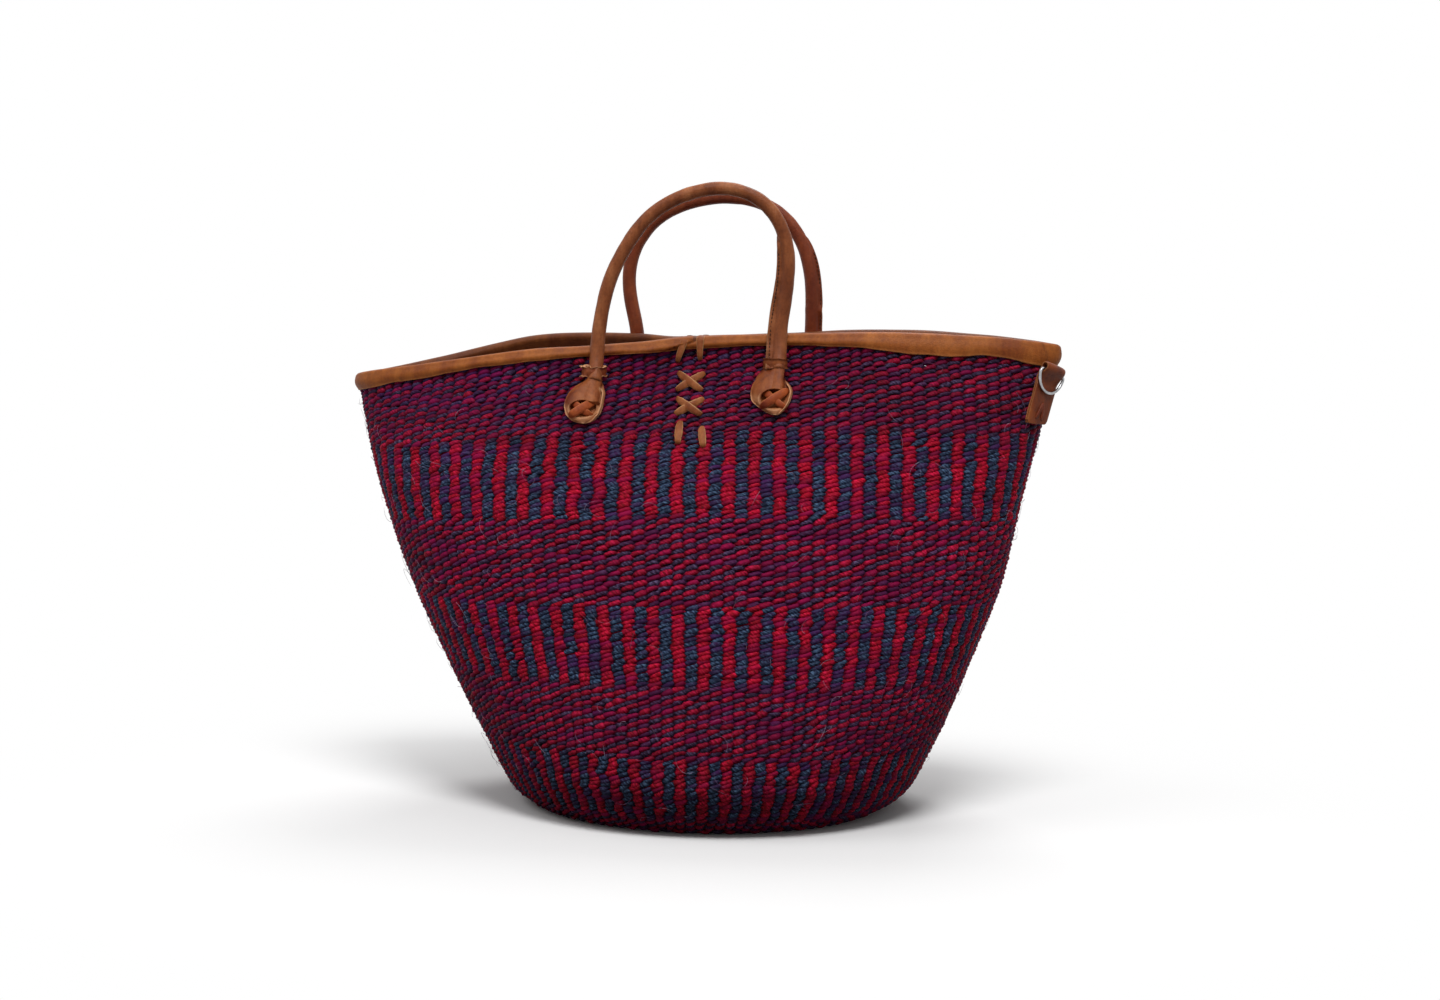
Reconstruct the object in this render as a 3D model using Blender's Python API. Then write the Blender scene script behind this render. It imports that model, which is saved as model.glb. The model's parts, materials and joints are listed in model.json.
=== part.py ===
"""Kiondo basket: a twined sisal body with a leather-bound mouth, two rolled leather
handles, laced closure tabs inside the mouth and a ring tab at each tip.

Metres, +Z up. X runs along the mouth, Y from the front wall to the back wall,
and the origin is the centre of the base's underside."""
import bpy
import bmesh
import numpy as np
from math import cos, pi, radians, sin, sqrt
from mathutils import Matrix, Vector

# Woven body. Each column of a table belongs to one height share.
BODY_HEIGHT = 0.2785
WALL_THICKNESS = 0.0050
FLOOR_THICKNESS = 0.0050
LEVEL_shares = (0.0, 0.025, 0.06, 0.11, 0.19, 0.32, 0.50, 0.70, 0.80, 0.87, 0.92, 0.96, 1.0)
RIGHT_REACHES = (
    0.1050, 0.1189, 0.1281, 0.1350, 0.1455, 0.1594, 0.1773, 0.1889, 0.1957, 0.2001, 0.2034, 0.2058, 0.2079,
)
LEFT_REACHES = (
    0.1020, 0.1129, 0.1200, 0.1274, 0.1399, 0.1587, 0.1810, 0.1993, 0.2070, 0.2112, 0.2146, 0.2172, 0.2195,
)
# Half depths of the body at the pinched centre and in the left and right lobes.
CENTRE_DEPTHS = (
    0.0980, 0.1085, 0.1160, 0.1215, 0.1193, 0.1114, 0.0985, 0.0700, 0.0500, 0.0330, 0.0212, 0.0140, 0.0122,
)
LEFT_DEPTHS = (
    0.0980, 0.1085, 0.1160, 0.1215, 0.1193, 0.1114, 0.1040, 0.0905, 0.0790, 0.0680, 0.0580, 0.0505, 0.0470,
)
RIGHT_DEPTHS = (
    0.0980, 0.1085, 0.1160, 0.1215, 0.1193, 0.1114, 0.0970, 0.0760, 0.0610, 0.0480, 0.0365, 0.0280, 0.0240,
)
PINCH_CENTRE_share = -0.045
PINCH_WIDTH_share = 0.33
# How far the wall's top edge stands over the body's height, left tip to right tip.
RIM_PLACE_shares = (-1.0, -0.70, -0.46, -0.20, 0.0, 0.26, 0.55, 0.80, 0.93, 1.0)
RIM_RISES = (-0.0274, -0.0180, -0.0105, -0.0058, -0.0010, 0.0016, 0.0030, 0.0015, -0.0013, -0.0038)
BACK_RISE_LEFT = 0.0050
BACK_RISE_RIGHT = 0.0018
SQUARE_LEVEL_shares = (0.0, 0.11, 0.50, 0.80, 1.0)
SQUARENESS_shares = (2.0, 2.0, 2.1, 2.25, 2.2)
AROUND = 76
TURNS = [2 * pi * (index + 0.5) / AROUND for index in range(AROUND)]
WALL_ROWS = {}
INNER_LEVEL_shares = (0.06, 0.11, 0.19, 0.50, 0.70, 0.80, 0.87, 0.92, 0.96)

# Leather parts lie this far from whatever they touch.
GAP = 0.0003
LEATHER = 0.0017
BINDING_DROP = 0.0080
BINDING_TIP_DROP = 0.0105
BINDING_CROWN = 0.0006

# Thongs.
THONG_WIDTH = 0.0036
THONG_THICKNESS = 0.0012
SLOT_CLEARANCE = 0.0008
SLOT_REACH = 0.0040
LACE_GAP = 0.0006
CROSS_PART_shares = (0.0, 0.15, 0.34, 0.5, 0.66, 0.85, 1.0)
RUN_PART_shares = (0.0, 0.25, 0.5, 0.75, 1.0)
CORNER_LIFT = 0.0008
SIGHT = 0.0001
SLOPE_SPAN = 0.0020

# Handles. Left and right legs meet the rim at these places; the bows' points are
# places across the mouth and heights over the body.
FRONT_LEGS_X = (-0.0628, 0.0440)
BACK_LEGS_X = (-0.0490, 0.0577)
TUBE_RADIUS = 0.0043
BORE_RADIUS = 0.0028
CORE_RADIUS = 0.0025
LEG_STANDOFF = 0.0071
AXIS_ABOVE_RIM = 0.0075
# The neck's top is mitred, so that the handle can fold this far outwards.
FOLD = radians(125)
FOLD_CLEARANCE = 0.0005
FRONT_BOW = (
    (-0.0613, 0.0095), (-0.0594, 0.0213), (-0.0555, 0.0360), (-0.0480, 0.0507), (-0.0364, 0.0672),
    (-0.0207, 0.0784), (-0.0043, 0.0844), (0.0086, 0.0863), (0.0221, 0.0841), (0.0357, 0.0762),
    (0.0447, 0.0625), (0.0479, 0.0493), (0.0478, 0.0377), (0.0463, 0.0232), (0.0449, 0.0145),
)
BACK_BOW = (
    (-0.0510, 0.0105), (-0.0538, 0.0222), (-0.0555, 0.0374), (-0.0515, 0.0545), (-0.0382, 0.0702),
    (-0.0210, 0.0785), (-0.0040, 0.0823), (0.0130, 0.0827), (0.0280, 0.0790), (0.0400, 0.0720),
    (0.0490, 0.0615), (0.0545, 0.0500), (0.0572, 0.0370), (0.0580, 0.0242), (0.0579, 0.0145),
)
BOW_STEPS = 26
TUBE_SIDES = 8
CORE_SIDES = 6
END_STEPS = 3
FIN_HEIGHT = 0.0036
FIN_THICKNESS = 0.0016
FIN_shares = (0.0, 0.0, 0.0, 0.55, 0.85, 1.0, 1.0)
FIN_PLACE_shares = (0.0, 0.60, 0.72, 0.76, 0.84, 0.92, 1.0)

# Keeper bands, flattened against the wall.
KEEPER_TOP = 0.0105
KEEPER_HEIGHT = 0.0075
KEEPER_GAP = 0.0005
KEEPER_HALF_WIDTH = 0.0072
KEEPER_HALF_DEPTH = 0.0057
KEEPER_SIDES = 12

# Spoon-shaped leg ends: drop below the rim, shift and half width of the slices,
# and how far their front edge and their hollow middle stand off the wall.
SPOON_DROPS = (0.0, 0.0060, 0.0110, 0.0145, 0.0180, 0.0215, 0.0255, 0.0300, 0.0350, 0.0400, 0.0438, 0.0455)
SPOON_SHIFT_shares = (0.0, 0.0, 0.0, 0.0, 0.0, 0.25, 0.55, 0.85, 1.0, 1.0, 1.0, 1.0)
SPOON_FOLLOW_shares = (0.0, 0.0, 0.0, 0.0, 0.0, 0.35, 0.8, 1.0, 1.0, 1.0, 1.0, 1.0)
SPOON_HALF_WIDTHS = (
    0.0042, 0.0042, 0.0042, 0.0042, 0.0042, 0.0055, 0.0088, 0.0114, 0.0118, 0.0104, 0.0072, 0.0034,
)
SPOON_BACKS = (0.0029, 0.0029, 0.0029, 0.0029, 0.0029, 0.0014, 0.0009, 0.0008, 0.0007, 0.0007, 0.0008, 0.0010)
SPOON_EDGES = (0.0113, 0.0113, 0.0113, 0.0113, 0.0113, 0.0100, 0.0080, 0.0064, 0.0054, 0.0050, 0.0046, 0.0040)
SPOON_HOLLOWS = (0.0, 0.0, 0.0, 0.0, 0.0, 0.0, 0.0008, 0.0028, 0.0030, 0.0028, 0.0018, 0.0004)
SPOON_LEFT_SHIFT = -0.0040
SPOON_RIGHT_SHIFT = -0.0012
SPOON_SIDES = 12
SPOON_CROSS_DROP = 0.0370
SPOON_CROSS_HALF = 0.0034
SPOON_CROSS_STANDOFF = 0.0056
SPOON_THONG_WIDTH = 0.0028

# Lacing of the closure tabs. A cross has its left and right sides, its top's drop
# below the body's height and its own height; an upright stitch its place, drop and length.
LOOP_LEFT_X = (-0.0162, -0.0123)
LOOP_RIGHT_X = (-0.0026, -0.0028)
LOOP_FOOT_DROP = 0.0108
CROSS_UPPER = (-0.0169, 0.0007, 0.0205, 0.0090)
CROSS_LOWER = (-0.0152, 0.0009, 0.0357, 0.0072)
UPRIGHT_LEFT = (-0.0131, 0.0480, 0.0134)
UPRIGHT_RIGHT = (0.0012, 0.0511, 0.0111)
TAB_LEFT_X = -0.0215
TAB_RIGHT_X = 0.0190
TAB_DROP = 0.0695
TAB_TOP_DROP = 0.0004
TAB_LAYER = 0.0016
TAB_COLUMNS = 6
TAB_ROWS = 5
TAB_INSET = WALL_THICKNESS + GAP + LEATHER + LACE_GAP
LACE_INSET = TAB_INSET + TAB_LAYER + LACE_GAP + THONG_THICKNESS / 2
SNAP_X = 0.0090
SNAP_DROP = 0.0100
SNAP_RADIUS = 0.0060
SNAP_THICKNESS = 0.0024
SNAP_SIDES = 14

# Ring tabs at the tips: where the roll and the foot stand along the wall.
RIGHT_TAB_X = (0.1990, 0.1900)
LEFT_TAB_X = (-0.2080, -0.1960)
ROLL_DROP = 0.0120
TAB_STANDOFF = 0.0006
TIP_TURN_share = 0.85
RING_TAB_WIDTH = 0.0160
RING_TAB_LENGTH = 0.0330
RING_TAB_LAYER = 0.0012
RING_TAB_LEAN = 0.0016
RING_TAB_KNEE = 0.0060
ROLL_BORE = 0.0014
ROLL_STEPS = 11
ROLL_SWEEP_share = 1.17
RING_WIRE = 0.0010
RING_HALF_WIDTH = 0.0098
RING_DEPTH = 0.0140
RING_FULLNESS_share = 0.8
RING_STEPS = 12
RING_SIDES = 8
RING_STITCH_DROP = 0.0235
RING_STITCH_HALF = 0.0038
RING_STITCH_ASIDE = -0.0045
RING_THONG_WIDTH = 0.0028


def material(name, colour, roughness, metal):
    """A plain material of one colour."""
    made = bpy.data.materials.new(name)
    made.use_nodes = True
    shader = made.node_tree.nodes["Principled BSDF"]
    shader.inputs["Base Color"].default_value = (*colour, 1.0)
    shader.inputs["Roughness"].default_value = roughness
    shader.inputs["Metallic"].default_value = metal
    return made


def smooth_table(places, values, where):
    """Value of a table at a place, on a curve that never overshoots its entries."""
    places = np.asarray(places, float)
    values = np.asarray(values, float)
    steps = np.diff(places)
    slopes = np.diff(values) / steps
    leans = np.zeros(len(values))
    leans[0] = slopes[0]
    leans[-1] = slopes[-1]
    for index in range(1, len(values) - 1):
        before, after = slopes[index - 1], slopes[index]
        if before * after > 0:
            leans[index] = 2 * before * after / (before + after)
    at = float(np.clip(where, places[0], places[-1]))
    index = int(np.clip(np.searchsorted(places, at) - 1, 0, len(steps) - 1))
    step = steps[index]
    part = (at - places[index]) / step
    rest = 1 - part
    start = values[index] * (1 + 2 * part) * rest**2 + leans[index] * step * part * rest**2
    finish = values[index + 1] * part**2 * (3 - 2 * part) - leans[index + 1] * step * part**2 * rest
    return float(start + finish)


def reach_of(level, rightward):
    """Half length of the body at a height share, on one side of the centre."""
    return smooth_table(LEVEL_shares, RIGHT_REACHES if rightward else LEFT_REACHES, level)


def depth_of(level, place):
    """Half depth of the body at a height share and a share of the reach."""
    middle = np.exp(-(((place - PINCH_CENTRE_share) / PINCH_WIDTH_share) ** 2))
    lobe = RIGHT_DEPTHS if place > PINCH_CENTRE_share else LEFT_DEPTHS
    centre = smooth_table(LEVEL_shares, CENTRE_DEPTHS, level)
    return centre * middle + smooth_table(LEVEL_shares, lobe, level) * (1 - middle)


def height_of(level, place, back):
    """Height of a point of the wall; the rim's waves fade towards the base."""
    height = level * BODY_HEIGHT + level**2 * smooth_table(RIM_PLACE_shares, RIM_RISES, place)
    if back:
        rise = BACK_RISE_RIGHT if place > 0 else BACK_RISE_LEFT
        height += rise * sin(pi * place) ** 2 * level**4
    return height


def wall_round(turn, level, inset):
    """Point of the wall at an angle round it, some way inside its outer face."""
    power = smooth_table(SQUARE_LEVEL_shares, SQUARENESS_shares, level)
    across, deep = cos(turn), sin(turn)
    place = np.sign(across) * abs(across) ** (2 / power)
    bulge = np.sign(deep) * abs(deep) ** (2 / power)
    reach = reach_of(level, across > 0) - inset
    depth = depth_of(level, place) - inset
    return Vector((reach * place, depth * bulge, height_of(level, place, deep > 0)))


def wall_rows(side, inset):
    """Rings of the front (-1) or back (1) wall as left-to-right arrays of x, y and z."""
    key = (side, round(inset, 7))
    if key not in WALL_ROWS:
        half = [turn for turn in TURNS if (sin(turn) > 0) == (side > 0)]
        rows = []
        for level in LEVEL_shares:
            points = np.array([wall_round(turn, level, inset) for turn in half])
            rows.append(points[np.argsort(points[:, 0])])
        WALL_ROWS[key] = rows
    return WALL_ROWS[key]


def wall_face(x, z, side, inset):
    """Point of the front (-1) or back (1) wall's facets over a given x and z."""
    rows = wall_rows(side, inset)
    heights = [np.interp(x, row[:, 0], row[:, 2]) for row in rows]
    depths = [np.interp(x, row[:, 0], row[:, 1]) for row in rows]
    return Vector((x, float(np.interp(z, heights, depths)), z))


def wall_upward(x, z, side):
    """Direction up the slope of the wall over a given x and z."""
    low = wall_face(x, z - SLOPE_SPAN, side, 0.0)
    high = wall_face(x, z + SLOPE_SPAN, side, 0.0)
    return (high - low).normalized()


def rim_height(x, side):
    """Height of the wall's top edge over a given x."""
    row = wall_rows(side, 0.0)[-1]
    return float(np.interp(x, row[:, 0], row[:, 2]))


def new_object(name, mesh, finish):
    """Object of a finished mesh, facing outwards, with one material."""
    made = bpy.data.objects.new(name, mesh)
    bpy.context.scene.collection.objects.link(made)
    mesh.materials.append(finish)
    return made


def flatten(shape):
    """Split every four-sided face, so that each facet is flat."""
    bmesh.ops.triangulate(shape, faces=[face for face in shape.faces if len(face.verts) == 4])


def skin(name, rings, finish, ends=True, ring_closed=False):
    """Closed body through rings of points; the last ring may join the first."""
    shape = bmesh.new()
    rows = [[shape.verts.new(point) for point in ring] for ring in rings]
    count = len(rows[0])
    pairs = list(zip(rows[:-1], rows[1:]))
    if ring_closed:
        pairs.append((rows[-1], rows[0]))
    for lower, upper in pairs:
        for index in range(count):
            after = (index + 1) % count
            shape.faces.new((lower[index], lower[after], upper[after], upper[index]))
    if ends and not ring_closed:
        shape.faces.new(list(reversed(rows[0])))
        shape.faces.new(rows[-1])
    bmesh.ops.recalc_face_normals(shape, faces=shape.faces)
    flatten(shape)
    mesh = bpy.data.meshes.new(name)
    shape.to_mesh(mesh)
    shape.free()
    return new_object(name, mesh, finish)


def cutter_of(name, boxes):
    """One wire object that holds every slot's box; each box is eight corners."""
    shape = bmesh.new()
    for corners in boxes:
        points = [shape.verts.new(corner) for corner in corners]
        faces = [(0, 1, 2, 3), (7, 6, 5, 4), (0, 4, 5, 1), (1, 5, 6, 2), (2, 6, 7, 3), (3, 7, 4, 0)]
        for face in faces:
            shape.faces.new([points[index] for index in face])
    bmesh.ops.recalc_face_normals(shape, faces=shape.faces)
    mesh = bpy.data.meshes.new(name)
    shape.to_mesh(mesh)
    shape.free()
    made = bpy.data.objects.new(name, mesh)
    bpy.context.scene.collection.objects.link(made)
    made.hide_render = True
    made.display_type = "WIRE"
    return made


def cut(target, cutter):
    """Take the cutter's boxes out of a body."""
    change = target.modifiers.new("slots", "BOOLEAN")
    change.operation = "DIFFERENCE"
    change.solver = "EXACT"
    change.object = cutter


def slot_box(outer, inner, across, width):
    """Corners of a slot that runs from an outer to an inner point."""
    along = (inner - outer).normalized()
    across = (across - along * across.dot(along)).normalized()
    up = along.cross(across)
    half_wide = across * (width / 2 + SLOT_CLEARANCE)
    half_high = up * (THONG_THICKNESS / 2 + SLOT_CLEARANCE)
    ends = (outer - along * SLOT_REACH, inner + along * SLOT_REACH)
    signs = ((-1, -1), (1, -1), (1, 1), (-1, 1))
    return [end + half_wide * wide + half_high * high for end in ends for wide, high in signs]


def thong(name, stations, width, finish):
    """Closed strap through stations of (centre, direction of its width)."""
    count = len(stations)
    rings = []
    for index, (centre, wide) in enumerate(stations):
        before = stations[index - 1][0]
        after = stations[(index + 1) % count][0]
        onward = ((after - centre).normalized() + (centre - before).normalized()).normalized()
        wide = (wide - onward * wide.dot(onward)).normalized()
        thick = onward.cross(wide) * (THONG_THICKNESS / 2)
        wide = wide * (width / 2)
        low, high = centre - thick, centre + thick
        rings.append([low - wide, low + wide, high + wide, high - wide])
    return skin(name, rings, finish, ring_closed=True)


def crossed_thong(name, corners, side, stand_offs, width, finish):
    """Cross stitch: two crossing straps outside, two level runs inside, as one loop.

    corners is (left, right, drop of the top, height); stand_offs are its centre line's,
    outside and inside."""
    left, right, drop, height = corners
    top = BODY_HEIGHT - drop
    bottom = top - height
    front, inner = stand_offs
    lift = Vector((0, side * (THONG_THICKNESS + GAP * 2), 0))
    upward = Vector((0, 0, 1))

    def outside(x0, z0, x1, z1, raised):
        """Stations of an outside strap from one corner to the other."""
        run = wall_face(x1, z1, side, front) - wall_face(x0, z0, side, front)
        found = []
        for part in CROSS_PART_shares:
            x, z = x0 + (x1 - x0) * part, z0 + (z1 - z0) * part
            corner = part in (CROSS_PART_shares[0], CROSS_PART_shares[-1])
            spot = wall_face(x, z, side, front - CORNER_LIFT if corner else front)
            slope = wall_upward(x, z, side)
            if not corner:
                level = Vector((1, 0, 0))
                level = (level - slope * level.dot(slope)).normalized()
                square = run.cross(slope.cross(level)).normalized()
                slope = square if square.z > 0 else -square
            middle = CROSS_PART_shares[1] < part < CROSS_PART_shares[-2]
            found.append((spot + lift if raised and middle else spot, slope))
        return found

    def inside(x0, x1, z):
        """Stations of a level inside run."""
        found = []
        for part in RUN_PART_shares:
            x = x0 + (x1 - x0) * part
            corner = part in (RUN_PART_shares[0], RUN_PART_shares[-1])
            spot = wall_face(x, z, side, inner + CORNER_LIFT if corner else inner)
            found.append((spot, wall_upward(x, z, side)))
        return found

    def leg(x, z):
        """Station halfway through the wall."""
        return [(wall_face(x, z, side, (front + inner) / 2), upward)]

    stations = outside(left, top, right, bottom, False) + leg(right, bottom)
    stations += inside(right, left, bottom) + leg(left, bottom)
    stations += outside(left, bottom, right, top, True) + leg(right, top)
    stations += inside(right, left, top) + leg(left, top)
    boxes = []
    for x in (left, right):
        for z in (top, bottom):
            ends = (wall_face(x, z, side, front), wall_face(x, z, side, inner))
            boxes.append(slot_box(*ends, upward, width))
    return thong(name, stations, width, finish), boxes


def upright_thong(name, place, side, stand_offs, finish):
    """Single upright stitch at (x, drop of the top, length): one strap outside and one inside."""
    x, drop, length = place
    top = BODY_HEIGHT - drop
    bottom = top - length
    front, inner = stand_offs
    sideways = Vector((1, 0, 0))
    heights = [top + (bottom - top) * part for part in RUN_PART_shares]
    middle = (front + inner) / 2
    stations = [(wall_face(x, z, side, front), sideways) for z in heights]
    stations.append((wall_face(x, bottom, side, middle), sideways))
    stations += [(wall_face(x, z, side, inner), sideways) for z in reversed(heights)]
    stations.append((wall_face(x, top, side, middle), sideways))
    boxes = []
    for z in (top, bottom):
        ends = (wall_face(x, z, side, front), wall_face(x, z, side, inner))
        boxes.append(slot_box(*ends, sideways, THONG_WIDTH))
    return thong(name, stations, THONG_WIDTH, finish), boxes


def rim_thong(name, foot_x, top_x, side, finish):
    """Stitch that goes over the binding and back through the wall below it."""
    sideways = Vector((1, 0, 0))
    outset = -(GAP + LEATHER + LACE_GAP + THONG_THICKNESS / 2)
    inset = LACE_INSET
    foot = rim_height(foot_x, side) - LOOP_FOOT_DROP
    rim = rim_height(top_x, side)
    crown = rim + GAP + LEATHER + BINDING_CROWN + LACE_GAP + THONG_THICKNESS / 2
    places = [(foot_x + (top_x - foot_x) * part, foot + (rim - foot) * part) for part in RUN_PART_shares]
    outer = [wall_face(x, z, side, outset) for x, z in places]
    inner = [wall_face(x, z, side, inset) for x, z in reversed(places)]
    shoulder = Vector((0, -side * THONG_THICKNESS, crown - rim))
    other_shoulder = Vector((0, side * THONG_THICKNESS, crown - rim))
    points = outer + [outer[-1] + shoulder, inner[0] + other_shoulder] + inner
    points.append(wall_face(foot_x, foot, side, (inset + outset) / 2))
    stations = [(point, sideways) for point in points]
    boxes = [slot_box(outer[0], inner[-1], sideways, THONG_WIDTH)]
    return thong(name, stations, THONG_WIDTH, finish), boxes


def turned_ring(centre, sideways, upward, half_wide, half_deep, sides):
    """Ring of points round a centre."""
    angles = [2 * pi * index / sides for index in range(sides)]
    return [centre + sideways * (half_wide * cos(a)) + upward * (half_deep * sin(a)) for a in angles]


def bow_path(hinge_left, hinge_right, bow):
    """Evenly stepped centre line of a handle from its left to its right hinge point."""
    spots = [hinge_left]
    for x, height in bow:
        part = (x - hinge_left.x) / (hinge_right.x - hinge_left.x)
        y = hinge_left.y + (hinge_right.y - hinge_left.y) * part
        spots.append(Vector((x, y, BODY_HEIGHT + height)))
    spots.append(hinge_right)
    lengths = [0.0]
    for before, after in zip(spots[:-1], spots[1:]):
        lengths.append(lengths[-1] + (after - before).length)
    path = []
    for index in range(BOW_STEPS + 1):
        at = lengths[-1] * index / BOW_STEPS
        path.append(Vector([smooth_table(lengths, [spot[axis] for spot in spots], at) for axis in range(3)]))
    return path


def tube_frames(path, plane_normal):
    """Tangent, in-plane normal and plane normal at each station of a path."""
    frames = []
    last = len(path) - 1
    for index in range(last + 1):
        onward = (path[min(index + 1, last)] - path[max(index - 1, 0)]).normalized()
        inward = plane_normal.cross(onward).normalized()
        frames.append((onward, inward, onward.cross(inward)))
    return frames


def axis_empty(name, spot, along, across, upward):
    """Empty at a joint's place, turned to its three directions."""
    pivot = bpy.data.objects.new(name, None)
    bpy.context.scene.collection.objects.link(pivot)
    turn = Matrix((along, across, upward)).transposed().to_4x4()
    pivot.matrix_world = Matrix.Translation(spot) @ turn
    return pivot


def handle(prefix, hinge_left, hinge_right, bow, finish, core_finish):
    """Rolled cover with its seam fin, and the cord core inside, on one hinge axis."""
    axis = (hinge_right - hinge_left).normalized()
    upward = Vector((0, 0, 1))
    upward = (upward - axis * upward.dot(axis)).normalized()
    across = upward.cross(axis)
    pivot = axis_empty(prefix + "_axis", (hinge_left + hinge_right) / 2, axis, across, upward)
    path = bow_path(hinge_left, hinge_right, bow)
    frames = tube_frames(path, across)
    outer = []
    inner = []
    for index, (centre, (onward, inward, sideways)) in enumerate(zip(path, frames)):
        fin = FIN_HEIGHT * smooth_table(FIN_PLACE_shares, FIN_shares, index / BOW_STEPS)
        ring = turned_ring(centre, inward, sideways, TUBE_RADIUS, TUBE_RADIUS, TUBE_SIDES)
        # The roll's sewn edges stand out towards the middle of the handle.
        half = sideways * (FIN_THICKNESS / 2)
        flank = inward * sqrt(TUBE_RADIUS**2 - FIN_THICKNESS**2)
        ring[-1] = centre + flank - half * 2 if fin == 0 else centre + inward * (TUBE_RADIUS + fin) - half
        ring[1] = centre + flank + half * 2 if fin == 0 else centre + inward * (TUBE_RADIUS + fin) + half
        ring[0] = centre + inward * (TUBE_RADIUS + fin)
        outer.append(ring)
        inner.append(turned_ring(centre, inward, sideways, BORE_RADIUS, BORE_RADIUS, TUBE_SIDES))
    end_reach = sqrt(TUBE_RADIUS**2 - BORE_RADIUS**2)

    def first_ring(away, radius):
        """Ring some way along the tube's line at its left end."""
        onward, inward, sideways = frames[0]
        return turned_ring(path[0] + onward * away, inward, sideways, radius, radius, TUBE_SIDES)

    def last_ring(away, radius):
        """Ring some way along the tube's line at its right end."""
        onward, inward, sideways = frames[-1]
        return turned_ring(path[-1] + onward * away, inward, sideways, radius, radius, TUBE_SIDES)

    lead = []
    tail = []
    for step in range(END_STEPS, 0, -1):
        away = end_reach * step / END_STEPS
        radius = sqrt(TUBE_RADIUS**2 - away**2)
        if step == END_STEPS:
            radius = BORE_RADIUS + SIGHT
        lead.append(first_ring(-away, radius))
        tail.insert(0, last_ring(away, radius))
    inner[0] = first_ring(-end_reach, BORE_RADIUS)
    inner[-1] = last_ring(end_reach, BORE_RADIUS)
    cover = skin(prefix + "_cover", lead + outer + tail + list(reversed(inner)), finish, ring_closed=True)
    core_path = path[1:-1]
    core_frames = frames[1:-1]
    core_rings = []
    for centre, (onward, inward, sideways) in zip(core_path, core_frames):
        core_rings.append(turned_ring(centre, inward, sideways, CORE_RADIUS, CORE_RADIUS, CORE_SIDES))
    core = skin(prefix + "_core", core_rings, core_finish)
    for piece in (cover, core):
        piece.parent = pivot
        piece.matrix_parent_inverse = pivot.matrix_world.inverted()
    return pivot


def leg_point(x, side):
    """Centre of a leg where it stands before the rim."""
    top = rim_height(x, side)
    return wall_face(x, top - GAP, side, -LEG_STANDOFF)


def hinge_point(x, side):
    """Hinge point of a leg, just above the binding."""
    return leg_point(x, side) + Vector((0, 0, AXIS_ABOVE_RIM))


def spoon(name, x, side, shift, finish):
    """Static end of a leg: round neck with a mitred top, which opens into a hollow round tab."""
    top = rim_height(x, side)
    hinge = hinge_point(x, side)
    lean = FOLD - pi / 2

    def mitre(outward):
        """Height of the neck's top at a distance outside the hinge, clear of the folded tube."""
        return hinge.z - (TUBE_RADIUS + FOLD_CLEARANCE + outward * sin(lean)) / cos(lean)

    neck_foot = mitre(SPOON_EDGES[0] - LEG_STANDOFF + FOLD_CLEARANCE * 2) - GAP
    rings = []
    slices = zip(
        SPOON_DROPS, SPOON_SHIFT_shares, SPOON_FOLLOW_shares,
        SPOON_HALF_WIDTHS, SPOON_BACKS, SPOON_EDGES, SPOON_HOLLOWS,
    )
    for drop, shift_share, follow, half_width, back, edge, hollow in slices:
        z = min(top - drop, neck_foot)
        middle_x = x + shift * shift_share
        ring = []
        for index in range(SPOON_SIDES):
            angle = 2 * pi * index / SPOON_SIDES
            place = cos(angle)
            deep = (back + edge) / 2 + (edge - back) / 2 * sin(angle)
            if sin(angle) > 0:
                deep -= hollow * (1 - place**2) ** 2
            spot = wall_face(middle_x + half_width * place, z, side, -deep)
            plain = wall_face(middle_x, z, side, -deep)
            spot.y = plain.y + (spot.y - plain.y) * follow
            ring.append(spot)
        rings.append(ring)
    rings.insert(0, [Vector((spot.x, spot.y, mitre((spot.y - hinge.y) * side))) for spot in rings[0]])
    return skin(name, rings, finish)


def keeper(name, x, side, finish):
    """Leather band round the neck, below the binding."""
    top = rim_height(x, side) - KEEPER_TOP
    rings = []
    outer_wide, outer_deep = KEEPER_HALF_WIDTH, KEEPER_HALF_DEPTH
    inner = TUBE_RADIUS + KEEPER_GAP
    levels = (
        (outer_wide, outer_deep, 0.15), (outer_wide, outer_deep, 0.85), (inner + GAP, inner + GAP, 1.0),
        (inner, inner, 0.95), (inner, inner, 0.05), (inner + GAP, inner + GAP, 0.0),
    )
    beside = wall_face(x + outer_wide, top, side, 0.0) - wall_face(x - outer_wide, top, side, 0.0)
    along = Vector((beside.x, beside.y, 0)).normalized()
    outward = Vector((0, 0, side)).cross(along)
    if outward.y * side < 0:
        outward.negate()
    for half_wide, half_deep, share in levels:
        z = top - KEEPER_HEIGHT * share
        centre = wall_face(x, z, side, -LEG_STANDOFF)
        rings.append(turned_ring(centre, along, outward, half_wide, half_deep, KEEPER_SIDES))
    return skin(name, rings, finish, ring_closed=True)


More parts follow.
